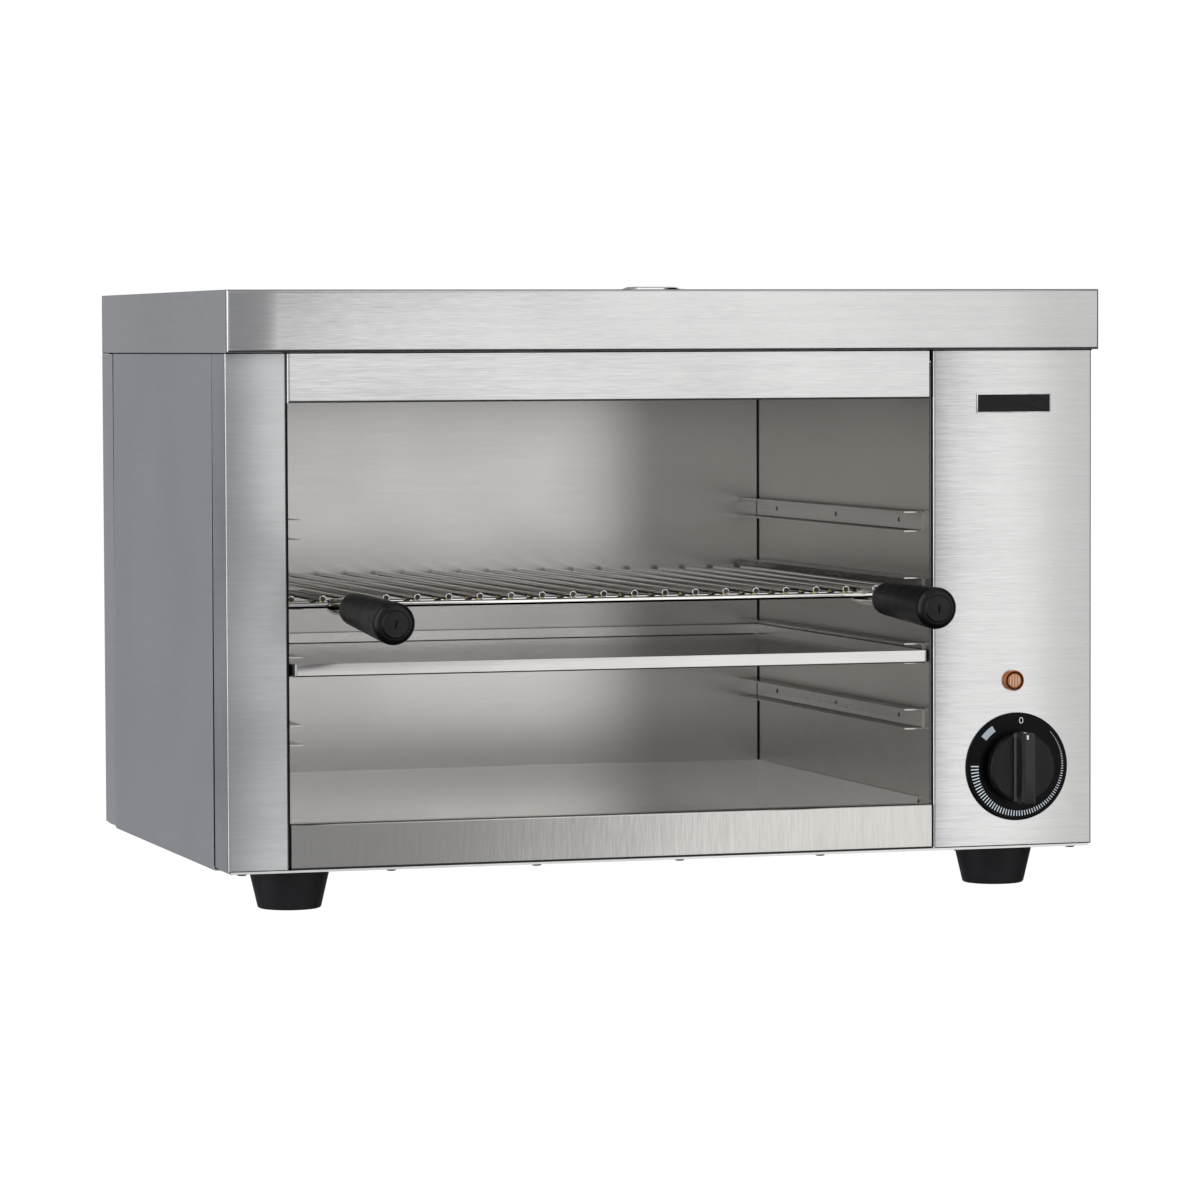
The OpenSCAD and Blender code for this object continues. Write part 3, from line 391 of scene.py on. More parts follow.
def brushed(name, colour, roughness, upright=False, hair=1.0, cloud=1.0, anisotropic=0.6,
            warm=(1.0, 1.0, 1.0), bows=(), lean=0.0):
    """Steel with level or upright grain; a bow is (start in mm, direction, steepness)."""
    material, shader, place = principled(name, {"Metallic": 1.0, "Anisotropic": anisotropic})
    tree = shader.id_data
    level = ramp(calculate("ABSOLUTE", facing(shader)["Z"]), 0.6, 0.85)
    across = (1, 0, 0) if upright else (0, 0.05, 1)
    tangent = add(tree, "CombineXYZ", dict(zip("XYZ", across)))
    layers = []
    for layer in (HAIRS, PASSES):
        wall = streaks(place, 0 if upright else 2, *layer)
        top = streaks(place, 0 if upright else 1, *layer)
        mix = add(tree, "Mix", {0: level, 2: wall, 3: top}, data_type="FLOAT")
        layers.append(mix.outputs[0])
    hairs, passes = layers
    clouds = noise(place, 7.0, 2.0)

    shade = plus(swing(hairs, 0.4 * hair), swing(clouds, 0.3 * cloud), swing(passes, 0.15 * hair))
    dark = tuple(channel * DARKEST * tone for channel, tone in zip(colour, warm))
    light = tuple(min(1.0, channel * LIGHTEST) for channel in colour)
    wave = times(clouds, CLOUD_DEPTH * MM * cloud)
    along = split(place)["X"]
    for start, direction, steepness in bows:
        past = calculate("MAXIMUM", times(minus(along, start * MM), direction), 0.0)
        wave = minus(wave, times(calculate("POWER", past, 2.0), steepness))
    grain = bumped(hairs, 0.25 * hair, HAIR_DEPTH * MM)
    waver = plus(swing(hairs, HAIR_TILT * hair, lean), swing(clouds, CLOUD_TILT * cloud))
    sideways = add(tree, "CombineXYZ", {"X": waver})
    leaning = add(tree, "VectorMath", {0: bumped(wave, 1.0, 1.0, Normal=grain),
                                       1: sideways.outputs[0]})
    unit = add(tree, "VectorMath", {0: leaning.outputs[0]}, operation="NORMALIZE")
    fill(shader, {
        "Base Color": blend_colours(ramp(shade, -0.9, 0.9, smooth=False), dark, light),
        "Roughness": ramp(shade, -0.9, 0.9, roughness + 0.03, roughness - 0.03, smooth=False),
        "Normal": unit.outputs[0], "Tangent": tangent.outputs[0]})
    return material


# %% Ten steels
COVER_LEFT, COVER_RIGHT = cover_low.x + 34, cover_high.x - 70
NEW_STEEL = (0.70, 0.70, 0.70)
casing_steel = brushed("brushed steel", NEW_STEEL, 0.22)
cover_steel = brushed("brushed steel of the cover", NEW_STEEL, 0.22,
                      bows=((COVER_LEFT, -1, 1.6), (COVER_RIGHT, 1, 0.42)))
pillar_steel = brushed("brushed steel of the pillar", (0.69, 0.70, 0.71), 0.42, cloud=3.0,
                       lean=-0.002)
side_steel = brushed("brushed steel of the sides", (0.66, 0.67, 0.69), 0.30, hair=0.6)
strip_steel = brushed("steel brushed upwards", (0.62, 0.606, 0.583), 0.17, upright=True, cloud=0.6,
                      anisotropic=0.0, bows=((300, -1, 0.060),))
SATIN = dict(hair=0.3, cloud=0.8, anisotropic=0.0, warm=(1.0, 0.99, 0.98))
cavity_steel = brushed("satin steel of the cavity", (0.68, 0.665, 0.65), 0.24, **SATIN)
right_wall_steel = brushed("browned steel of the right wall", (0.60, 0.58, 0.555), 0.26, **SATIN)
pan_steel = brushed("satin steel of the crumb pan", (0.85, 0.833, 0.82), 0.24, **SATIN)
runner_steel = brushed("satin steel of the runners", (0.62, 0.605, 0.58), 0.26, hair=0.4,
                       anisotropic=0.0)
tray_steel = brushed("satin steel of the tray", (0.80, 0.785, 0.77), 0.24, hair=0.5,
                     anisotropic=0.0)
print("ten steels, each with hairs 0.5 mm wide")

# %% [markdown]
# ## Chrome, zinc and oxidised tube
#
# The wires, straps and screws are plated, so they mirror the room sharply; a little smoky
# variation along the wire and a warm tint keep them from looking computer-clean. The element
# tubes have been red hot: their skin is dark, matt and slightly brown and blue in patches.


# %% Plated and oxidised metal
def plated(name, colour, roughness, worn=0.1, underside_shade=0.0):
    """Bright plating with a smoky film, and painted shade where it faces down."""
    material, shader, place = principled(name, {"Metallic": 1.0})
    film = noise(place, 60.0, 4.0)
    dark = tuple(channel * (1 - 2 * worn) for channel in colour)
    underside_shade_colour = tuple(channel * 0.05 for channel in colour)
    # Faces that look downwards are darkened towards near black: painted shade.
    underside_shade_mask = ramp(facing(shader)["Z"], -0.35, -0.12, underside_shade, 0.0)
    fill(shader, {
        "Base Color": blend_colours(
            underside_shade_mask, blend_colours(ramp(film, 0.35, 0.65), dark, colour), underside_shade_colour),
        "Roughness": ramp(film, 0.3, 0.7, roughness * 1.5, roughness * 0.7),
        "Normal": bumped(noise(place, 300.0, 2.0), 0.3, 0.02 * MM)})
    return material


def oxidised(name):
    """Heating tube that has been red hot."""
    material, shader, place = principled(name, {"Metallic": 0.75})
    patches = noise(place, 45.0, 5.0)
    fill(shader, {
        "Base Color": blend_colours(ramp(patches, 0.35, 0.65), (0.09, 0.075, 0.07),
                                    (0.19, 0.18, 0.19)),
        "Roughness": ramp(patches, 0.3, 0.7, 0.62, 0.42)})
    return material


# %% Seven more metals
# The wire is darkened to near black underneath: painted shade.
wire_chrome = plated("chromed wire", (0.95, 0.93, 0.90), 0.08, worn=0.02, underside_shade=1.0)
strap_chrome = plated("chromed strap", (0.96, 0.94, 0.90), 0.13, worn=0.04)
# Gold of the welds: partly a heat tint, partly a painted glint.
weld_tint_and_glint = plated("heat tint and painted glint of the welds", (0.70, 0.60, 0.28), 0.18, worn=0.15)
# Dark discs on the rod ends are a painted reflection of dark surroundings; the same dark also
# covers the rivets' front faces.
dark_end_face = plated("dark end face", (0.10, 0.09, 0.08), 0.4, worn=0.2)
screw_zinc = plated("bright zinc", (0.72, 0.71, 0.69), 0.2, worn=0.15)
brass = plated("brass", (0.78, 0.60, 0.30), 0.25)
tube_skin = oxidised("oxidised element tube")
print("seven metals besides the sheet steel")

# %% [markdown]
# ## Plastics, rubber and ceramic
#
# Moulded black is never quite black: grips have a fine spark-eroded grain that spreads the
# highlights, the dial is glossy and a little dusty, and rubber is duller and warmer. One function
# makes them all from a colour, a roughness and the size of the grain.


# %% Moulded materials
def moulded(name, colour, roughness, grain=0.4, depth=0.02, dust=0.25, shine=0.5, glow=None,
            **values):
    """A plastic, rubber or ceramic with a moulded grain of that size in mm."""
    if glow:
        values["Emission Color"], values["Emission Strength"] = glow
    material, shader, place = principled(name, {"Specular IOR Level": shine, **values})
    film = noise(place, 70.0, 4.0)
    pale = tuple(min(1.0, channel * 1.3 + 0.012) for channel in colour)
    fill(shader, {
        "Base Color": blend_colours(ramp(film, 0.4, 0.75, 0.0, dust * 4, smooth=False), colour,
                                    pale),
        "Roughness": ramp(film, 0.3, 0.7, roughness - 0.04, roughness + 0.06),
        "Normal": bumped(noise(place, 1 / (grain * MM), 2.0), 0.6, depth * MM)})
    return material


# %% Eighteen moulded materials
MATT = 0.25
grip_black = moulded("moulded black of the grips", (0.004, 0.004, 0.005), 0.36, depth=0.008,
                     dust=0.0, shine=0.4)
knob_black = moulded("moulded black of the knob", (0.009, 0.009, 0.010), 0.34, dust=0.08, shine=0.3)
# The bar is the knob's black made lighter, so its face shows brighter than the disc: painted light.
lit_bar_black = moulded("lighter black of the bar, painted light", (0.022, 0.022, 0.024), 0.32, dust=0.08)
dial_black = moulded("black of the dial", (0.003, 0.003, 0.004), 0.3, depth=0.004, dust=0.02,
                     shine=0.12)
rubber = moulded("black rubber", (0.032, 0.032, 0.036), 0.5, grain=0.8, depth=0.04, dust=0.1,
                 shine=MATT)
# The printed white and grey glow a little, though they are no lamp: painted light.
glowing_ink = moulded("printed white with painted glow", (0.88, 0.95, 1.0), 0.4, depth=0.005, dust=0.0,
              glow=((0.75, 0.86, 0.95), 0.35))
glowing_block_ink = moulded("printed grey with painted glow", (0.62, 0.70, 0.76), 0.4, depth=0.005, dust=0.0,
                    glow=((0.70, 0.80, 0.90), 0.12))
# Black for seams and gaps that lie in shade: painted shade.
seam_shade_black = moulded("black of painted seam shade", (0.004, 0.004, 0.004), 0.6, dust=0.0, shine=MATT)
# Brown-black for the cavity's corners and the tray's far edge: painted shade.
corner_shade_brown = moulded("brown-black of painted corner shade", (0.040, 0.026, 0.018), 0.5, dust=0.1, shine=MATT)
ceramic = moulded("cream ceramic", (0.74, 0.70, 0.60), 0.45)
gland_plastic = moulded("black polyamide", (0.03, 0.03, 0.032), 0.4)
wire_skin = moulded("red silicone", (0.42, 0.05, 0.035), 0.45)
wool = moulded("mineral wool", (0.70, 0.63, 0.46), 0.95, grain=1.5, depth=0.6)
plate_black = moulded("plate enamel", (0.010, 0.010, 0.013), 0.3, depth=0.004, dust=0.05,
                      shine=MATT)
amber = moulded("amber lens", (0.74, 0.19, 0.006), 0.14, depth=0.004,
                **{"Transmission Weight": 0.15, "IOR": 1.49, "Coat Weight": 0.1})
amber_shade = moulded("dark inner rim of the lens", (0.020, 0.006, 0.003), 0.2, depth=0.004,
                      dust=0.0, shine=MATT)
amber_face = moulded("face of the lens", (0.72, 0.25, 0.04), 0.3, glow=((1.0, 0.30, 0.06), 0.05))
amber_rib = moulded("bright ribs of the lens", (0.86, 0.66, 0.52), 0.25, depth=0.005,
                    glow=((1.0, 0.7, 0.55), 0.12))
print("eighteen moulded materials")

# %% [markdown]
# ## Geometry Nodes trees
#
# Rods, rivets, screws and tick marks are the same thing many times over. A tree makes them: it
# takes one piece, or a path, and named sizes, and ends by turning its instances into real mesh
# and giving them their material. `grown` runs a tree on a start mesh, sets each input by its
# identifier, and keeps the result as a plain mesh. The trees come where they are first needed.


# %% Tree building
def new_tree(name, *sockets):
    """An empty Geometry Nodes tree with named inputs; returns it with its input sockets."""
    tree = bpy.data.node_groups.new(name, "GeometryNodeTree")
    tree.interface.new_socket("Geometry", in_out="INPUT", socket_type="NodeSocketGeometry")
    for label, kind in sockets + (("Material", "Material"),):
        tree.interface.new_socket(label, in_out="INPUT", socket_type="NodeSocket" + kind)
    tree.interface.new_socket("Geometry", in_out="OUTPUT", socket_type="NodeSocketGeometry")
    return tree, tree.nodes.new("NodeGroupInput").outputs


def close_tree(node, given):
    """Ends a tree after its last node: real mesh, then its material."""
    real = add(node.id_data, "RealizeInstances", {"Geometry": node.outputs[0]})
    done = add(node.id_data, "SetMaterial", {"Geometry": real.outputs[0],
                                             "Material": given["Material"]})
    fill(node.id_data.nodes.new("NodeGroupOutput"), {0: done.outputs[0]})


def grown(name, start, tree, angle=35, **values):
    """Runs a tree on a start mesh (in metres) and keeps the result as a plain mesh."""
    piece = bpy.data.objects.new(name, start)
    bpy.context.scene.collection.objects.link(piece)
    modifier = piece.modifiers.new("tree", "NODES")
    modifier.node_group = tree
    for item in tree.interface.items_tree:
        label = item.name.replace(" ", "_").lower()
        if item.in_out == "INPUT" and label in values:
            modifier[item.identifier] = values[label]
    keep_result(piece)
    smooth(piece.data, angle)
    return piece


def points_mesh(name, points, turns=(), joined=False):
    """Points in millimetres, each with a turn in degrees, or joined to a path."""
    mesh = bpy.data.meshes.new(name)
    edges = [(i, i + 1) for i in range(len(points) - 1)] if joined else []
    mesh.from_pydata([Vector(point) * MM for point in points], edges, [])
    if turns:
        turn = mesh.attributes.new("turn", "FLOAT_VECTOR", "POINT")
        for item, angles in zip(turn.data, turns):
            item.vector = [math.radians(angle) for angle in angles]
    return mesh


# %% [markdown]
# ## The casing
#
# The top cover, pillar, fascia, strip, control panel and rear panel are folded from 1 mm sheet.
# Their shapes are right in the frame, so each one is eased and given its steel. The strip under
# the opening was brushed upwards, the side panels duller than the fronts.

# %% Casing sheets
eased("top_cover", cover_steel)
eased("left_pillar", pillar_steel)
for node in ("upper_fascia", "control_panel", "rear_panel", "base_plate"):
    eased(node, casing_steel)
for node in ("left_side_panel", "right_side_panel"):
    eased(node, side_steel, edge=0.45)
eased("lower_strip", strip_steel)
print("nine casing sheets with broken edges")

# %% [markdown]
# The steam vent is a bridge pressed up out of a small plate: a flat crown with a ramp at each
# end that runs out flat on the cover. Its section is a line of points along X: `rounded` bends
# its corners with arcs, `ribbon` draws it out along Y, and `thickened` gives it its wall.


# %% Bent sheet
def rounded(corners, steps=5):
    """A profile whose corners (x, y, radius) are eased with arcs."""
    points = []
    for i, (x, y, radius) in enumerate(corners):
        here = Vector((x, y))
        if radius <= 0 or i in (0, len(corners) - 1):
            points.append(here)
            continue
        before = (Vector(corners[i - 1][:2]) - here).normalized()
        after = (Vector(corners[i + 1][:2]) - here).normalized()
        half = before.angle(after) / 2
        centre = here + (before + after).normalized() * radius / math.sin(half)
        start = here + before * radius / math.tan(half) - centre
        end = here + after * radius / math.tan(half) - centre
        turn = start.angle(end)
        for step in range(steps + 1):
            arc = turn * step / steps
            arm = (start * math.sin(turn - arc) + end * math.sin(arc)) / math.sin(turn)
            points.append(centre + arm)
    return points


def outward(shape):
    """Lets every face of a shape point outwards."""
    bmesh.ops.recalc_face_normals(shape, faces=shape.faces)
    return shape


def ribbon(first, second):
    """A band of faces between two rows of points."""
    shape = bmesh.new()
    rows = [[shape.verts.new(point) for point in row] for row in (first, second)]
    for i in range(len(first) - 1):
        shape.faces.new((rows[0][i], rows[0][i + 1], rows[1][i + 1], rows[1][i]))
    return outward(shape)


def thickened(piece, thickness, angle=35):
    """Gives an open piece a wall, half of it on either side."""
    wall = piece.modifiers.new("thickness", "SOLIDIFY")
    wall.thickness = thickness * MM
    wall.offset = 0
    keep_result(piece)
    smooth(piece.data, angle)
    return piece


# %% Steam vent
VENT_SHEET, VENT_RAMP, VENT_FOOT, VENT_BEND = 0.7, 4.0, 2.0, 1.5
vent_low, vent_high = box_mm("top_vent")
middle = (vent_low + vent_high) / 2
crown, base = vent_high.z - VENT_SHEET / 2, vent_low.z + VENT_SHEET / 2
half_width = (vent_high.x - vent_low.x) / 2
foot_x = half_width - VENT_FOOT
crown_x = foot_x - VENT_RAMP
section = rounded([(-half_width, base, 0), (-foot_x, base, VENT_BEND),
                   (-crown_x, crown, VENT_BEND), (crown_x, crown, VENT_BEND),
                   (foot_x, base, VENT_BEND), (half_width, base, 0)])
rows = [[(middle.x + x, y, z) for x, z in section] for y in (vent_low.y, vent_high.y)]
vent = piece_from("steam_vent", ribbon(*rows), casing_steel)
stand_for(thickened(vent, VENT_SHEET), "top_vent")
print("the vent stands", round(vent_high.z - vent_low.z, 1), "mm high")

# %% [markdown]
# ## The cavity
#
# The walls, the crumb pan and the ceiling are satin steel that has seen heat, warmer in tone than
# the casing. The runners are small channels; the rack and the tray hide most of them, so their
# edges matter more than their faces.

# %% Cavity sheets and runners
RUNNERS = [f"{side}_runner_{level}" for side in ("left", "right") for level in range(1, 5)]
for node in ("cavity_back", "cavity_left_wall", "ceiling_reflector", "element_hangers"):
    eased(node, cavity_steel)
eased("cavity_right_wall", right_wall_steel)
eased("crumb_pan", pan_steel)
for node in RUNNERS:
    eased(node, runner_steel, edge=0.12)
print("six cavity pieces and", len(RUNNERS), "runners")

# %% [markdown]
# A rivet is turned once: a shank set flush in the channel, with a small dimple from the punch,
# and a formed head behind the wall. `lathe` turns a profile of (radius, height) points, as a wood
# turner would, and the pattern tree then puts a rivet at every hole. The holes' places follow
# from the runners: three along each, half way up.


# %% The lathe
def circle(radius, count):
    """Points round a circle."""
    return [(radius * math.cos(2 * math.pi * k / count), radius * math.sin(2 * math.pi * k / count))
            for k in range(count)]


def moved(shape, place):
    """Brings a shape to its place."""
    bmesh.ops.transform(shape, matrix=place, verts=shape.verts)
    return shape


def lathe(profile, place=Matrix(), segments=64):
    """A turned shape about its own +Z; the profile starts and may end on the axis."""
    shape = bmesh.new()
    rings = []
    for radius, height in profile:
        if radius < 1e-6:
            rings.append([shape.verts.new((0, 0, height))] * segments)
        else:
            rings.append([shape.verts.new((x, y, height)) for x, y in circle(radius, segments)])
    for lower, upper in zip(rings, rings[1:]):
        for k in range(segments):
            following = (k + 1) % segments
            corners = dict.fromkeys((lower[k], lower[following], upper[following], upper[k]))
            if len(corners) > 2:
                shape.faces.new(corners)
    return moved(outward(shape), place)


# %% The pattern tree
# The start mesh is the points, each with a turn, and the piece is an object
pattern_tree, given = new_tree("pieces at points", ("Piece", "Object"))
source = add(pattern_tree, "ObjectInfo", {"Object": given["Piece"]})
turn = add(pattern_tree, "InputNamedAttribute", {"Name": "turn"}, data_type="FLOAT_VECTOR")
close_tree(add(pattern_tree, "InstanceOnPoints",
               {"Points": given["Geometry"], "Instance": source.outputs["Geometry"],
                "Rotation": turn.outputs[0]}), given)
print("the pattern tree has", len(pattern_tree.nodes), "nodes")


def repeated(name, piece, points, turns, material):
    """Copies of a small piece at points; the piece itself is thrown away."""
    result = grown(name, points_mesh(name, points, turns), pattern_tree, piece=piece,
                   material=material)
    bpy.data.objects.remove(piece)
    return result


# %% Rivets
RIVET_R, RIVET_HEAD_R, SHEET = 1.55, 3.0, 1.0
RIVET_FACE = -SHEET - 0.2                           # how far the shank's front stands out
DIMPLE_R, DIMPLE_DEEP = 0.5, 0.15
HEAD_TOP = SHEET + 1.2
RIVET_FROM_END = 45
rivet_profile = rounded(
    [(DIMPLE_R, RIVET_FACE + DIMPLE_DEEP, 0), (0.9, RIVET_FACE, 0.2), (RIVET_R, RIVET_FACE, 0.15),
     (RIVET_R, SHEET, 0), (RIVET_HEAD_R, SHEET, 0.1), (RIVET_HEAD_R, SHEET + 0.5, 0.3),
     (RIVET_HEAD_R - 1.2, HEAD_TOP, 0.6), (0.5, HEAD_TOP, 0)])
rivet_profile = [(0, RIVET_FACE + DIMPLE_DEEP), *rivet_profile, (0, HEAD_TOP)]
points, turns = [], []
for node in RUNNERS:
    low, high = box_mm(node)
    from_left = node.startswith("left")
    for y in (low.y + RIVET_FROM_END, (low.y + high.y) / 2, high.y - RIVET_FROM_END):
        points.append((low.x if from_left else high.x, y, (low.z + high.z) / 2))
        turns.append((0, -90 if from_left else 90, 0))
one = piece_from("one_rivet", lathe(rivet_profile, segments=20), runner_steel)
stand_for(repeated("runner_rivets_turned", one, points, turns, runner_steel), "runner_rivets")
face_r = RIVET_R - 0.1
one = piece_from("one_face", lathe([(0, RIVET_FACE - 0.06), (face_r, RIVET_FACE - 0.06),
                                    (face_r, RIVET_FACE + 0.1), (0, RIVET_FACE + 0.1)],
                                   segments=20), dark_end_face)
go_with(repeated("rivet_faces", one, points, turns, dark_end_face), "runner_rivets")
print(len(points), "rivets")

# %% [markdown]
# ## Dark lines
#
# A seam is black: thin black strips of painted shade lie under the cover's skirt and behind the
# open seams of the front, and brown-black strips of painted shade stand in the corners of the
# cavity and along the tray's far edge. Thin strips carry both; they ride on the sheets beside them.


# %% Blocks and strips
def block(low, high, edge=0.0):
    """A box between two corners with eased edges."""
    low, high = Vector(low), Vector(high)
    shape = bmesh.new()
    bmesh.ops.create_cube(shape, size=1)
    bmesh.ops.scale(shape, vec=high - low, verts=shape.verts)
    bmesh.ops.translate(shape, vec=(low + high) / 2, verts=shape.verts)
    if edge:
        bmesh.ops.bevel(shape, geom=shape.edges, offset=edge, segments=2, profile=0.5,
                        affect="EDGES")
    return shape


def merged(shapes):
    """Several shapes as one."""
    whole = bmesh.new()
    for shape in shapes:
        mesh = bpy.data.meshes.new("part")
        shape.to_mesh(mesh)
        shape.free()
        whole.from_mesh(mesh)
    return whole


def strips(name, node, material, boxes):
    """Several thin boxes as one detail on a node."""
    go_with(piece_from(name, merged(block(low, high) for low, high in boxes), material), node)


# %% Seams and corners, in painted shade
panel_low, panel_high = box_mm("control_panel")
pillar_low, pillar_high = box_mm("left_pillar")
face_y = panel_low.y
SHADE_LINE_H, SEAM, SEAM_BACK, SHADE_STRIP_W = 0.8, 0.8, 1.1, 0.6
shade_line_z = cover_low.z - SHADE_LINE_H
# Black strips under the cover's skirt and behind the open seams of the front: painted shade.
strips("cover_sealant", "upper_fascia", seam_shade_black, [
    ((pillar_low.x + 0.5, face_y - 0.4, shade_line_z), (panel_high.x - 0.5, face_y + 0.3, cover_low.z)),
    ((pillar_low.x - 0.4, face_y + 0.5, shade_line_z), (pillar_low.x + 0.3, cover_high.y, cover_low.z)),
    ((panel_high.x - 0.3, face_y + 0.5, shade_line_z), (panel_high.x + 0.4, cover_high.y, cover_low.z))])
strips("front_sealant", "upper_fascia", seam_shade_black, [
    ((x - 0.3, face_y + SEAM_BACK, pillar_low.z + 2),
     (x + SEAM + 0.3, face_y + SEAM_BACK + 0.5, shade_line_z))
    for x in (pillar_high.x, panel_low.x - SEAM)])
pan_low, pan_high = box_mm("crumb_pan")
ceiling = box_mm("ceiling_reflector")[0].z
# Brown-black strips up the back corners of the cavity: painted shade.
strips("cavity_grease", "cavity_back", corner_shade_brown, [
    ((x, pan_high.y - SHADE_STRIP_W, pan_high.z), (x + SHADE_STRIP_W, pan_high.y, ceiling))
    for x in (pan_low.x, pan_high.x - SHADE_STRIP_W)])
tray_low, tray_high = box_mm("sheet_tray")
# A brown-black strip low along the tray's far edge: painted shadow under its rim.
strips("tray_grease", "sheet_tray", corner_shade_brown, [
    ((tray_low.x + 3, tray_high.y - 2.4, tray_low.z + 0.9),
     (tray_high.x - 3, tray_high.y - 1.4, tray_low.z + 1.5))])
print("eight dark lines")

# %% [markdown]
# ## Heating elements
#
# Each element is one tube bent into a hairpin. The path has four points, and the tube tree bends
# its two corners; it ends in a ceramic bead and a flat tab outside the wall. The tubes pass
# through brass bushes.

# %% The tube tree
# The start mesh is an open path, whose corners are bent round
tube_tree, given = new_tree("tube along a path", ("Diameter", "Float"), ("Bend radius", "Float"))
path = add(tube_tree, "MeshToCurve", {"Mesh": given["Geometry"]})
bent = add(tube_tree, "FilletCurve", {"Curve": path.outputs[0], "Radius": given["Bend radius"],
                                      "Limit Radius": True, "Count": 10}, mode="POLY")
profile = add(tube_tree, "CurvePrimitiveCircle", {"Resolution": 20,
                                                  "Radius": times(given["Diameter"], 0.5)})
close_tree(add(tube_tree, "CurveToMesh", {"Curve": bent.outputs[0], "Fill Caps": True,
                                          "Profile Curve": profile.outputs[0]}), given)
print("the tube tree has", len(tube_tree.nodes), "nodes")


def tube_along(name, points, diameter, bend, material):
    """A round tube through points, with bends of that inner radius."""
    return grown(name, points_mesh(name, points, joined=True), tube_tree, 40,
                 diameter=diameter * MM, bend_radius=bend * MM, material=material)


# %% Heating elements
ELEMENT_D, HAIRPIN = 8.0, 60.0
for node in ("front_element", "rear_element"):
    low, high = box_mm(node)
    turn_x, z = low.x + ELEMENT_D / 2, (low.z + high.z) / 2
    far_y, near_y = ((low.y + high.y + side * HAIRPIN) / 2 for side in (1, -1))
    hairpin = [(high.x, far_y, z), (turn_x, far_y, z), (turn_x, near_y, z), (high.x, near_y, z)]
    stand_for(tube_along(node + "_tube", hairpin, ELEMENT_D, HAIRPIN / 2 - 0.01, tube_skin), node)
eased("element_bushes", brass, edge=0.3)
eased("element_terminals", ceramic, edge=0.1)
print("two hairpins of", ELEMENT_D, "mm tube")

# %% [markdown]
# ## The wire rack
#
# Twenty-one rods lie on three thin cross wires and end on top of a thicker front wire. A rod is
# turned on the lathe with rounded ends, because it was cropped and then plated, and the row tree
# repeats it. Where a rod crosses a wire, resistance welding leaves a small squashed bead. The
# beads' gold is partly a heat tint and partly a painted glint along the front of the rack, which is
# why the front wire has a bead only on the left of each rod.

# %% The row tree
# The start mesh is one piece, repeated by a constant step
row_tree, given = new_tree("row of pieces", ("Count", "Int"), ("Step", "Vector"))
line = add(row_tree, "MeshLine", {"Count": given["Count"], "Offset": given["Step"]},
           mode="OFFSET")
close_tree(add(row_tree, "InstanceOnPoints", {"Points": line.outputs[0],
                                              "Instance": given["Geometry"]}), given)
print("the row tree has", len(row_tree.nodes), "nodes")

# %% Lying rods
TO_FRONT = Matrix.Rotation(math.radians(90), 4, "X")           # turns +Z towards the user
ALONG_X = Matrix.Rotation(math.radians(90), 4, "Y")            # turns +Z to the right


def at(x, y, z, turn=Matrix()):
    """A place in millimetres with a turn."""
    return Matrix.Translation((x, y, z)) @ turn


def rod_shape(diameter, length, ease, place, segments):
    """A rod with rounded ends, from its start at height 0."""
    radius = diameter / 2
    profile = rounded([(0, 0, 0), (radius, 0, ease), (radius, length, ease), (0, length, 0)])
    return lathe(profile, place, segments)


# %% Wire rack
ROD_D, FRONT_WIRE_D, CROSS_D, ROD_COUNT = 5.0, 4.0, 3.5, 21
CROSS_FROM_FRONT, CROSS_FROM_REAR, WELD = 27.0, 6, 0.3
rods_low, rods_high = box_mm("rack_rods")
wires_low, wires_high = box_mm("rack_cross_wires")
ROD_PITCH = (rods_high.x - rods_low.x - ROD_D) / (ROD_COUNT - 1)
rod_xs = [rods_low.x + ROD_D / 2 + ROD_PITCH * i for i in range(ROD_COUNT)]
rod_z = (rods_low.z + rods_high.z) / 2

rod = rod_shape(ROD_D, rods_high.y - rods_low.y, 0.6, at(rod_xs[0], rods_high.y, rod_z, TO_FRONT),
                24)
rod = piece_from("one_rod", rod, wire_chrome)
rods = grown("rack_rods_row", rod.data, row_tree, count=ROD_COUNT,
             step=(ROD_PITCH * MM, 0, 0), material=wire_chrome)
bpy.data.objects.remove(rod)
stand_for(rods, "rack_rods")

front_y, front_z = wires_low.y + FRONT_WIRE_D / 2, wires_low.z + FRONT_WIRE_D / 2
cross_z = rod_z - (ROD_D + CROSS_D) / 2 + WELD
cross_ys = (front_y + CROSS_FROM_FRONT, (front_y + rods_high.y) / 2 + 8,
            rods_high.y - CROSS_FROM_REAR)
wires = [(front_y, front_z, FRONT_WIRE_D), *((y, cross_z, CROSS_D) for y in cross_ys)]
cross_wires = merged(rod_shape(diameter, wires_high.x - wires_low.x, 0.8,
                               at(wires_low.x, y, z, ALONG_X), 20) for y, z, diameter in wires)
stand_for(piece_from("rack_cross_wires_round", cross_wires, wire_chrome), "rack_cross_wires")
print(ROD_COUNT, "rods every", round(ROD_PITCH, 2), "mm, on", len(wires), "wires")

# %% Cut ends and welds
END_R = ROD_D / 2 - 0.7
end_disc = rounded([(0, -0.05, 0), (END_R, -0.05, 0.02), (END_R, 0.06, 0.02), (0, 0.06, 0)])
# A dark disc on each rod end: painted reflection.
one = piece_from("one_end", lathe(end_disc, segments=24), dark_end_face)
ends = repeated("rod_cut_ends", one, [(x, rods_low.y, rod_z) for x in rod_xs],
                [(90, 0, 0)] * ROD_COUNT, dark_end_face)
go_with(ends, "rack_rods")

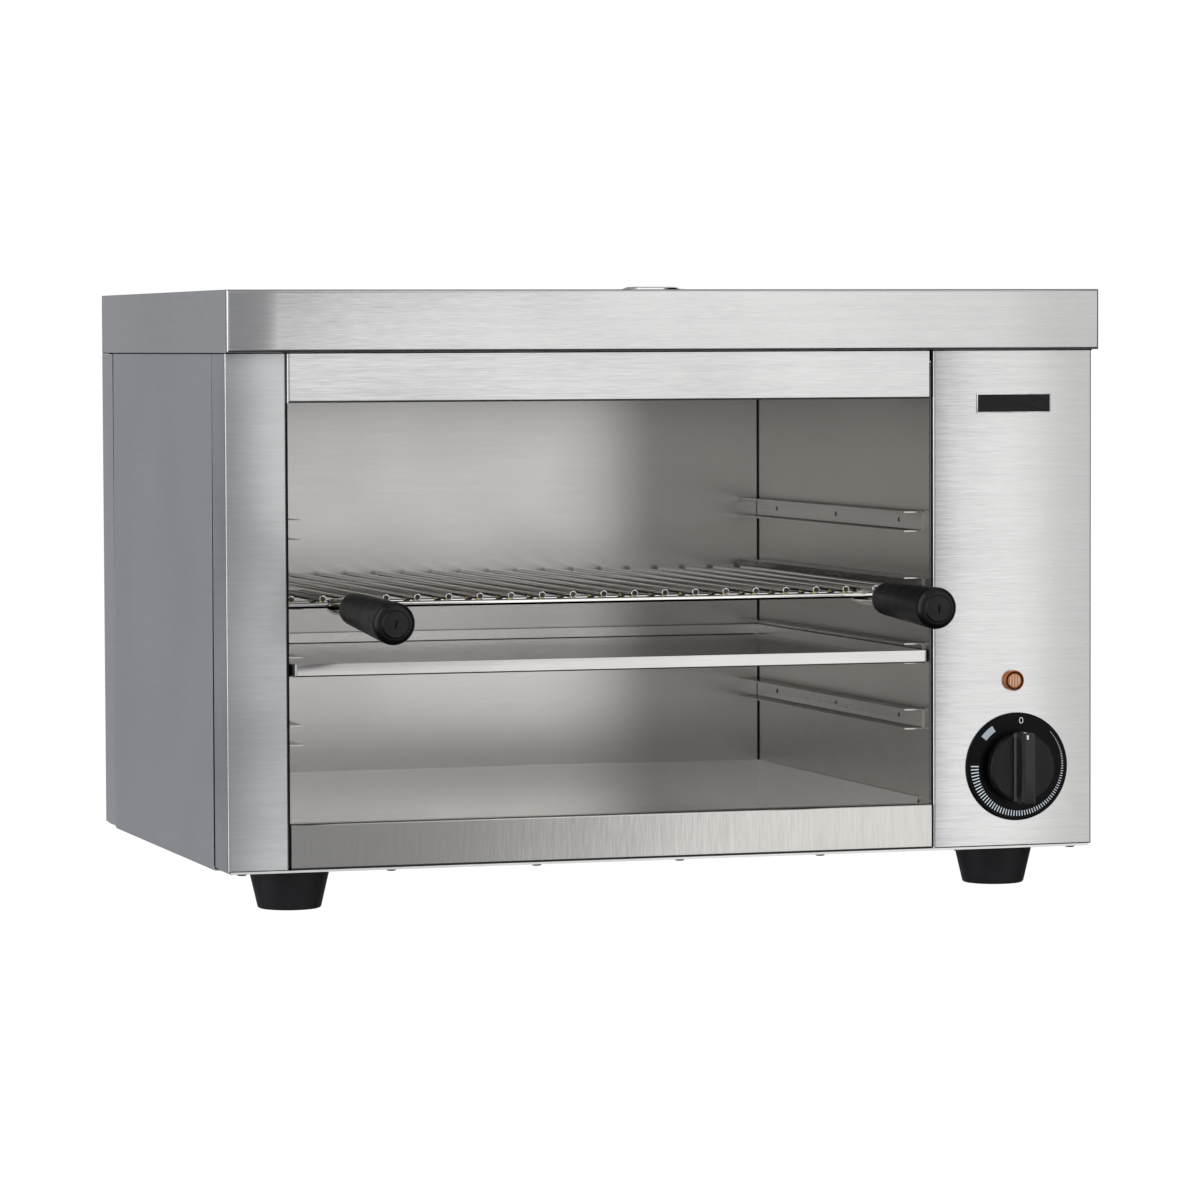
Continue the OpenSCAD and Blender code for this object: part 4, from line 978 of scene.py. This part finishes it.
WELD_SIDE, WELD_R, WELD_HALF = 1.9, 1.35, 1.3
bead_profile = rounded([(0, -WELD_HALF, 0), (1.0, -1.1, 0.5), (WELD_R, 0, 0.8), (1.0, 1.1, 0.5),
                        (0, WELD_HALF, 0)])
bead = piece_from("one_bead", lathe(bead_profile, segments=14), weld_tint_and_glint)
points = [(x + side * WELD_SIDE, y, z + diameter / 2 + 0.1) for x in rod_xs
          for y, z, diameter in wires for side in ((-1,) if y == front_y else (-1, 1))]
beads = repeated("weld_beads", bead, points, [(90, 0, 0)] * len(points), weld_tint_and_glint)
go_with(beads, "rack_rods")
print(ROD_COUNT, "cut ends and", len(points), "welds")

# %% [markdown]
# ## Grips
#
# A grip is turned black plastic: slimmer at the rack, fuller towards the hand, with a rounded rim
# and a raised cap with a slot over its screw. It droops by a degree or three. The frame's box
# gives the middle of the rear end; the rest is its own profile. A slot for the strap's legs is
# cut at the rear, and last the slot in the cap.


# %% Cutting
def carve(piece, shape):
    """Cuts a shape out of a piece."""
    cutter = piece_from("cutter", shape)
    cut = piece.modifiers.new("cut", "BOOLEAN")
    cut.object = cutter
    cut.solver = "EXACT"
    keep_result(piece)
    bpy.data.objects.remove(cutter)


# %% Grips
GRIP_L, GRIP_D, GRIP_REAR_D, GRIP_RIM = 100.0, 27.8, 21.5, 4.6
CAP_R, CAP_H = 8.6, 1.2
SLOT_W, SLOT_H, SLOT_DEEP = 1.5, 5.4, 1.4
STRAP_W, STRAP_H, STRAP_IN_GRIP = 10.0, 10.5, 14.0
GRIP_HUNG = {"left_grip": (3.0, 1.0, -18), "right_grip": (1.2, 0.0, 0)}  # droop, turn, slot
grip_profile = rounded(
    [(0, 0, 0), (GRIP_REAR_D / 2, 0, 4), (GRIP_D / 2, GRIP_L - CAP_H, GRIP_RIM),
     (CAP_R + 0.5, GRIP_L - CAP_H, 0.25), (CAP_R, GRIP_L, 0.7), (0, GRIP_L, 0)], 8)
for node, hung in GRIP_HUNG.items():
    low, high = box_mm(node)
    strap_low, strap_high = box_mm(node + "_strap")
    droop, turned, slanted = (math.radians(angle) for angle in hung)
    lean = math.acos(math.cos(droop) * math.cos(turned))
    rear_y = low.y + GRIP_L * math.cos(lean) + CAP_R * math.sin(lean)
    where = at((strap_low.x + strap_high.x) / 2, rear_y, front_z,
               Matrix.Rotation(turned, 4, "Z") @ Matrix.Rotation(droop, 4, "X") @ TO_FRONT)
    grip = piece_from(node + "_turned", lathe(grip_profile, where), grip_black)
    half_w = (STRAP_W + 1) / 2 + STRAP_IN_GRIP * math.tan(turned)
    half_h = (STRAP_H + 0.3) / 2 + STRAP_IN_GRIP * math.tan(droop)
    rear_slot = block((-half_w, -half_h, -1), (half_w, half_h, STRAP_IN_GRIP + 1))
    carve(grip, moved(rear_slot, where))
    cap_slot = block((-SLOT_W / 2, -SLOT_H / 2, GRIP_L - SLOT_DEEP),
                     (SLOT_W / 2, SLOT_H / 2, GRIP_L + 1))
    carve(grip, moved(cap_slot, where @ Matrix.Rotation(slanted, 4, "Z")))
    smooth(grip.data)
    stand_for(grip, node)
for node in ("left_grip_strap", "right_grip_strap"):
    eased(node, strap_chrome, edge=0.35)
eased("grip_screws", knob_black, edge=0.2)
eased("strap_bolts", screw_zinc, edge=0.25)
print("two grips", GRIP_L, "mm long")

# %% [markdown]
# ## The sheet tray
#
# A shallow tray, folded with round corners. Its front edge is a long bright line across the
# photograph, so its edges get a wider break than most of the sheets.

# %% Sheet tray
eased("sheet_tray", tray_steel, edge=0.2)
print("a tray", round(tray_high.x - tray_low.x), "mm wide")

# %% [markdown]
# ## The dial
#
# Behind the knob lies a glossy black plate with a printed scale: fine ticks that grow longer with
# the heat, a nought at the top and a block at the end. The ticks follow a rule, so a tree makes
# them: it spreads points over an arc and stretches one small bar at each point.

# %% Dial plate
DIAL_BORE, PRINT_T = 6.2, 0.05
dial_low, dial_high = box_mm("dial_plate")
knob_axis = Vector(((dial_low.x + dial_high.x) / 2, dial_high.y, (dial_low.z + dial_high.z) / 2))
DIAL_R = (dial_high.x - dial_low.x) / 2
DIAL_T = dial_high.y - dial_low.y
dial_profile = rounded([(DIAL_BORE, 0, 0), (DIAL_BORE, DIAL_T, 0.2), (DIAL_R, DIAL_T, 1.0),
                        (DIAL_R, 0, 0.2), (DIAL_BORE, 0, 0)])
on_panel = at(*knob_axis, TO_FRONT)
dial = piece_from("dial_plate_turned", lathe(dial_profile, on_panel, 128), dial_black)
stand_for(dial, "dial_plate")
print("the dial is", round(2 * DIAL_R), "mm across")

# %% A tree for the scale
SCALE_SIZES = ("First angle", "Last angle", "Outer radius", "Shortest", "Longest", "Width",
               "Thickness")
SPACING_GROWTH = 0.224                              # how much the spacing grows along the scale
LENGTH_POWER, THINNEST = 1.15, 0.55                 # how length grows; the first tick's width
scale_tree, given = new_tree("dial scale", ("Ticks", "Int"), ("Middle", "Vector"),
                             *((label, "Float") for label in SCALE_SIZES))
marks = add(scale_tree, "Points", {"Count": given["Ticks"]})
number = add(scale_tree, "InputIndex").outputs[0]
share = calculate("DIVIDE", number, minus(given["Ticks"], 1.0))
sweep = minus(given["Last angle"], given["First angle"])
spaced = plus(times(share, 1 - SPACING_GROWTH), times(share, share, SPACING_GROWTH))
angle = plus(given["First angle"], times(spaced, sweep))
growth = minus(given["Longest"], given["Shortest"])
length = plus(given["Shortest"], times(calculate("POWER", share, LENGTH_POWER), growth))
radius = minus(given["Outer radius"], times(length, 0.5))
width = times(given["Width"], ramp(share, 0.0, 1.0, THINNEST, 1.0, smooth=False))
spot = add(scale_tree, "CombineXYZ", {"X": times(radius, calculate("SINE", angle)),
                                      "Z": times(radius, calculate("COSINE", angle))})
placed = add(scale_tree, "SetPosition", {"Geometry": marks.outputs[0], "Offset": given["Middle"],
                                         "Position": spot.outputs[0]})
bar = add(scale_tree, "MeshCube", {"Size": (1, 1, 1)})
turned = add(scale_tree, "CombineXYZ", {"Y": angle})
size = add(scale_tree, "CombineXYZ", {"X": width, "Y": given["Thickness"], "Z": length})
close_tree(add(scale_tree, "InstanceOnPoints",
               {"Points": placed.outputs[0], "Instance": bar.outputs[0],
                "Rotation": turned.outputs[0], "Scale": size.outputs[0]}), given)
print("the scale tree has", len(scale_tree.nodes), "nodes")

# %% The scale
TICKS, FIRST, LAST = 69, 46.8, 271.5                # the angles run clockwise from the top
TICKS_OUTER, SHORTEST, LONGEST, TICK_W = 33.9, 0.5, 5.7, 0.74
print_y = knob_axis.y - DIAL_T - PRINT_T / 2
scale = grown("dial_scale", bpy.data.meshes.new("scale"), scale_tree, ticks=TICKS,
              first_angle=math.radians(FIRST), last_angle=math.radians(LAST),
              outer_radius=TICKS_OUTER * MM, shortest=SHORTEST * MM, longest=LONGEST * MM,
              width=TICK_W * MM, thickness=PRINT_T * MM, material=glowing_ink,
              middle=(knob_axis.x * MM, print_y * MM, knob_axis.z * MM))
go_with(scale, "dial_plate")
print(TICKS, "ticks")

# %% [markdown]
# The nought and the block are flat prints too. A print is an outline filled between an outer and
# an inner line of points, or between two arcs, and given the thickness of ink.


# %% Nought and block
def printed_band(name, outer, inner, closed, material):
    """A flat print between two lines of points (x, z) about the knob's axis."""
    shape = bmesh.new()
    front_y = knob_axis.y - DIAL_T - PRINT_T
    (a, b), (c, d) = [[[shape.verts.new((knob_axis.x + x, y, knob_axis.z + z)) for x, z in line]
                       for line in (outer, inner)] for y in (front_y, front_y + PRINT_T)]
    count = len(outer)
    for i in range(count if closed else count - 1):
        j = (i + 1) % count
        for first, second in ((a, b), (c, d), (a, c), (b, d)):
            shape.faces.new((first[i], first[j], second[j], second[i]))
    if not closed:
        for i in (0, count - 1):
            shape.faces.new((a[i], b[i], d[i], c[i]))
    go_with(piece_from(name, outward(shape), material), "dial_plate")


def dial_arc(radius, first, last, count=12):
    """Points on the dial between two clockwise angles in degrees."""
    angles = [math.radians(first + (last - first) * k / count) for k in range(count + 1)]
    return [(radius * math.sin(angle), radius * math.cos(angle)) for angle in angles]


NOUGHT_AT, NOUGHT_OUTER, NOUGHT_INNER = (2.9, 31.6), (1.5, 2.15), (1.05, 1.7)
BLOCK_ANGLES, BLOCK_OUTER, BLOCK_INNER = (-51, -33), 33.7, 29.1
nought = [[(NOUGHT_AT[0] + half_w * x, NOUGHT_AT[1] + half_h * z) for x, z in circle(1, 40)]
          for half_w, half_h in (NOUGHT_OUTER, NOUGHT_INNER)]
printed_band("dial_nought", *nought, True, glowing_ink)
printed_band("dial_block", dial_arc(BLOCK_OUTER, *BLOCK_ANGLES),
             dial_arc(BLOCK_INNER, *BLOCK_ANGLES), False, glowing_block_ink)
print("a nought and a block on the dial")

# %% [markdown]
# ## The knob
#
# The knob is a disc with a bar across it. The disc is turned. The bar is lofted: the same outline
# is drawn at several heights, wide at the foot where it flares into the disc, a little narrower
# towards the top, and drawn in quickly over the rounded upper edge. Its ends follow the disc.

# %% Knob disc
knob_low, knob_high = box_mm("control_knob")
KNOB_R = (knob_high.x - knob_low.x) / 2
KNOB_REACH = knob_axis.y - knob_low.y
KNOB_BACK = knob_axis.y - knob_high.y
KNOB_BORE, KNOB_FACE, BAR_W, BAR_END_R = 3.1, 13.5, 10.2, KNOB_R + 1.0
knob_profile = rounded(
    [(KNOB_BORE, KNOB_BACK, 0), (KNOB_R, KNOB_BACK, 0.5), (KNOB_R, KNOB_FACE, 1.4),
     (KNOB_BORE, KNOB_FACE, 0), (KNOB_BORE, KNOB_BACK, 0)], 6)
disc = piece_from("knob_disc", lathe(knob_profile, on_panel, 128), knob_black)
print("a disc", round(2 * KNOB_R), "mm across")


# %% Bar
def bar_outline(grow, height, count=10, ease=1.4):
    """Outline of the bar, grown outwards by some millimetres, at one height."""
    half = BAR_W / 2 + grow
    reach = BAR_END_R + min(grow, 0.2)
    side_end = math.sqrt(reach * reach - half * half)
    end_angle = math.asin((half - ease * 0.8) / reach)
    right = [(half, side_end - ease), (half - ease * 0.25, side_end - ease * 0.25)]
    angles = [end_angle * (1 - 2 * k / count) for k in range(count + 1)]
    top = [(reach * math.sin(angle), reach * math.cos(angle)) for angle in angles]
    upper = right + top + [(-x, y) for x, y in reversed(right)]
    return [(x, y, height) for x, y in upper + [(-x, -y) for x, y in upper]]


BAR_LAYERS = [(0.0, KNOB_BACK + 1.2), (0.05, KNOB_FACE - 0.9), (2.2, KNOB_FACE - 0.4),
              (1.5, KNOB_FACE + 0.2), (0.8, KNOB_FACE + 0.8), (0.3, KNOB_FACE + 1.8),
              (0.1, KNOB_FACE + 3.0), (-0.25, KNOB_REACH - 1.2), (-0.32, KNOB_REACH - 0.7),
              (-0.55, KNOB_REACH - 0.25), (-1.1, KNOB_REACH)]
shape = bmesh.new()
layers = [[shape.verts.new(point) for point in bar_outline(grow, height)]
          for grow, height in BAR_LAYERS]
for lower, upper in zip(layers, layers[1:]):
    for i in range(len(lower)):
        j = (i + 1) % len(lower)
        shape.faces.new((lower[i], lower[j], upper[j], upper[i]))
shape.faces.new(layers[-1])
shape.faces.new(layers[0][::-1])
go_with(piece_from("knob_bar", moved(outward(shape), on_panel), lit_bar_black), "control_knob")
stand_for(disc, "control_knob")
print("a bar", BAR_W, "mm wide, drawn at", len(BAR_LAYERS), "heights")

# %% Pointer
POINTER_X, POINTER_W, POINTER_T = -1.2, 1.3, 0.12
end = BAR_END_R - 0.5
ridge = [(end - 3.9, KNOB_REACH + 0.02), (end - 1.2, KNOB_REACH + 0.02),
         (end - 0.55, KNOB_REACH - 0.3), (end - 0.15, KNOB_REACH - 0.9),
         (end + 0.3, KNOB_REACH - 3.2), (end + 0.45, KNOB_REACH - 6.5)]
rows = [[(POINTER_X + side * POINTER_W / 2, *spot) for spot in ridge] for side in (1, -1)]
pointer = piece_from("knob_pointer_print", moved(ribbon(*rows), on_panel), glowing_ink, angle=60)
stand_for(thickened(pointer, POINTER_T, 60), "knob_pointer")
print("a pointer", POINTER_W, "mm wide")

# %% [markdown]
# ## The pilot lamp
#
# The lens is a short amber drum with a flat face, moulded with upright ribs inside that break the
# light. The drum is turned; the face is a disc set in front, with four ribs standing on it and a
# dark rim round it.

# %% Pilot lamp
FACE_R, RIB_W, RIB_PITCH = 4.9, 1.0, 2.0
lens_low, lens_high = box_mm("lamp_lens")
LENS_R = (lens_high.x - lens_low.x) / 2
REACH = lens_high.y - lens_low.y
on_lamp = at((lens_low.x + lens_high.x) / 2, lens_high.y, (lens_low.z + lens_high.z) / 2, TO_FRONT)
lens_profile = rounded(
    [(0, 0, 0), (LENS_R, 0, 0.2), (LENS_R, REACH - 0.7, 0.3), (LENS_R - 0.6, REACH - 0.2, 0.3),
     (LENS_R - 0.9, REACH - 0.6, 0), (0, REACH - 0.6, 0)])
rim_profile = rounded([(FACE_R - 0.2, REACH - 0.9, 0), (LENS_R - 0.9, REACH - 0.7, 0),
                       (LENS_R - 0.8, REACH - 0.12, 0.2), (FACE_R, REACH - 0.45, 0.2),
                       (FACE_R - 0.2, REACH - 0.9, 0)])
face_profile = [(0, REACH - 0.85), (FACE_R, REACH - 0.85), (FACE_R, REACH - 0.5),
                (0, REACH - 0.35)]
stand_for(piece_from("lamp_lens_turned", lathe(lens_profile, on_lamp), amber), "lamp_lens")
go_with(piece_from("lens_rim", lathe(rim_profile, on_lamp), amber_shade), "lamp_lens")
go_with(piece_from("lens_face", lathe(face_profile, on_lamp), amber_face), "lamp_lens")
ribs = []
for x in (-1.5 * RIB_PITCH, -0.5 * RIB_PITCH, 0.5 * RIB_PITCH, 1.5 * RIB_PITCH):
    half = math.sqrt((FACE_R - 0.8) ** 2 - x ** 2)
    ribs.append(block((x - RIB_W / 2, -half, REACH - 0.6), (x + RIB_W / 2, half, REACH - 0.05),
                      edge=0.2))
go_with(piece_from("lens_ribs", moved(merged(ribs), on_lamp), amber_rib), "lamp_lens")
eased("lamp_holder", ceramic, edge=0.2)
print("a lens", round(2 * LENS_R, 1), "mm across, with", len(ribs), "ribs")

# %% [markdown]
# ## The name plate
#
# The plate on the control panel is small, dark and bare: a sunk enamelled field in a bevelled
# silver rim. The rim comes from insetting the front face and pushing the field back.

# %% Name plate
PLATE_CORNER, RIM_W, RIM_BEVEL, FIELD_SUNK = 0.6, 0.7, 0.15, -0.3
plate_low, plate_high = box_mm("name_plate")
shape = block(plate_low, plate_high)
bmesh.ops.bevel(shape, geom=[edge for edge in shape.edges
                             if abs(edge.verts[0].co.y - edge.verts[1].co.y) > 0.5],
                offset=PLATE_CORNER, segments=3, profile=0.5, affect="EDGES")
front = min(shape.faces, key=lambda face: face.calc_center_median().y)
for inset, depth in ((RIM_W, 0), (RIM_BEVEL, FIELD_SUNK)):
    bmesh.ops.inset_region(shape, faces=[front], thickness=inset, depth=depth)
front.material_index = 1
plate = piece_from("bare_name_plate", outward(shape), screw_zinc, plate_black, angle=30)
stand_for(plate, "name_plate")
print("a bare plate", round(plate_high.x - plate_low.x), "mm long")

# %% [markdown]
# ## Feet and screws
#
# The feet are moulded rubber cones, wider at the top, with a soft edge where they meet the table
# and a hole for the screw. The screws are turned pan heads with a cross recess cut once, then
# repeated by the pattern tree with the head down under the base or backwards on the rear panel.

# %% Feet
FEET = ("front_left_foot", "front_right_foot", "rear_left_foot", "rear_right_foot")
FOOT_R, FOOT_TOP_R, RECESS_R, RECESS_H, FOOT_HOLE_R = 21.0, 27.5, 7.0, 12.0, 2.7
foot_places = []
for node in FEET:
    low, high = box_mm(node)
    foot_h = high.z - low.z
    foot_places.append(((low.x + high.x) / 2, (low.y + high.y) / 2))
    foot_profile = rounded(
        [(FOOT_HOLE_R, RECESS_H, 0), (RECESS_R, RECESS_H, 0.3), (RECESS_R, 0, 0.6),
         (FOOT_R, 0, 1.8), (FOOT_TOP_R, foot_h, 0.5), (FOOT_HOLE_R, foot_h, 0),
         (FOOT_HOLE_R, RECESS_H, 0)])
    foot = lathe(foot_profile, at(*foot_places[-1], low.z), 96)
    stand_for(piece_from(node + "_turned", foot, rubber), node)
print(len(FEET), "feet", 2 * FOOT_R, "mm across")


# %% Screws
def pan_head(diameter, length):
    """A pan-head screw with a cross recess: its seat at the origin, its head upwards."""
    head_r, head_h = diameter * 0.99, diameter * 0.6
    profile = rounded([(0, -length, 0), (diameter / 2 - 0.3, -length, 0.1),
                       (diameter / 2, -length + 0.5, 0.2), (diameter / 2, 0, 0), (head_r, 0, 0.15),
                       (head_r, head_h * 0.35, head_h * 0.3), (head_r * 0.72, head_h, head_h * 0.5),
                       (0, head_h, 0)])
    screw = piece_from("screw", lathe(profile, segments=28), screw_zinc)
    for turn in (0, 90):
        cross = block((-diameter * 0.1, -diameter * 0.45, head_h * 0.45),
                      (diameter * 0.1, diameter * 0.45, head_h + 1))
        carve(screw, moved(cross, Matrix.Rotation(math.radians(turn), 4, "Z")))
    smooth(screw.data)
    return screw


def screws(node, diameter, length, points, turns):
    """Pan-head screws at points, standing for a node."""
    stand_for(repeated(node + "_pan", pan_head(diameter, length), points, turns, screw_zinc), node)


SCREW_D, SCREW_L, FOOT_SCREW_D, FOOT_SCREW_L = 4.0, 7, 5.0, 17.5
base_z = box_mm("base_plate")[0].z
back_y = box_mm("rear_panel")[1].y
side_low_y = box_mm("right_side_panel")[0].y
cavity_middle_x = (pillar_high.x + panel_low.x) / 2 - 0.5
front_xs = [pillar_low.x + 13, *(cavity_middle_x + 100.5 * i - 151.5 for i in range(5)),
            panel_high.x - 9]
side_places = ((panel_high.x - 14, side_low_y + 5), (panel_high.x - 11, back_y - 161))
points = [(x, face_y + 17, base_z) for x in front_xs]
points += [(100 * i, back_y - 12, base_z) for i in range(-2, 3)]
points += [(side * x, y, base_z - 1) for side in (-1, 1) for x, y in side_places]
screws("base_screws", SCREW_D, SCREW_L, points, [(180, 0, 37 * i) for i in range(len(points))])
count = len(points)
cover_screw_low, cover_screw_high = box_mm("cover_screws")
points = [(x, cover_high.y, (cover_screw_low.z + cover_screw_high.z) / 2) for x in (-200, 0, 200)]
screws("cover_screws", SCREW_D, SCREW_L, points, [(-90, 0, turn) for turn in (25, 0, 60)])
screws("foot_screws", FOOT_SCREW_D, FOOT_SCREW_L, [(*spot, RECESS_H) for spot in foot_places],
       [(180, 0, 20 * i) for i in range(4)])
print(count, "base screws, 3 cover screws and 4 foot screws")

# %% [markdown]
# ## Behind the panel
#
# The regulator, the terminal block, the gland and the wires only show when the machine is open or
# seen from behind, but they are finished all the same: ceramic, polyamide, zinc and silicone. The
# wiring keeps its own mesh and only gets a material.

# %% Inner parts
for node, material, edge in (
        ("regulator_body", ceramic, 0.4), ("terminal_block", ceramic, 0.4),
        ("cable_gland", gland_plastic, 0.5), ("regulator_shaft", screw_zinc, 0.3),
        ("regulator_screws", screw_zinc, 0.2), ("insulation", wool, 2.0)):
    eased(node, material, edge)
for material_slot in frame["nodes"]["wiring"].material_slots:
    material_slot.material = wire_skin
print("seven inner nodes")

# %% [markdown]
# ## The floor
#
# The photograph was overexposed until its background turned pure white, floor and all, with no
# shadow left. So the floor far around the machine glows white to the camera and lights nothing.

# %% Floor
FLOOR_REACH = 60                                    # in metres
floor_mesh = bpy.data.meshes.new("floor")
floor_mesh.from_pydata([(x * FLOOR_REACH, y * FLOOR_REACH, 0)
                        for x, y in ((-1, -1), (1, -1), (1, 1), (-1, 1))], [], [(0, 1, 2, 3)])
floor_mesh.materials.append(principled("overexposed floor", {
    "Base Color": (0.0, 0.0, 0.0), "Roughness": 1.0, "Specular IOR Level": 0.0,
    "Emission Color": (1.0, 1.0, 1.0), "Emission Strength": BACKGROUND})[0])
floor = bpy.data.objects.new("floor", floor_mesh)
bpy.context.scene.collection.objects.link(floor)
floor.visible_glossy = False
floor.visible_diffuse = False
floor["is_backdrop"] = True

# %% Sizes and finish
low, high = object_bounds()
print("the visual model's box:", [round(v / MM, 1) for v in low], [round(v / MM, 1) for v in high])
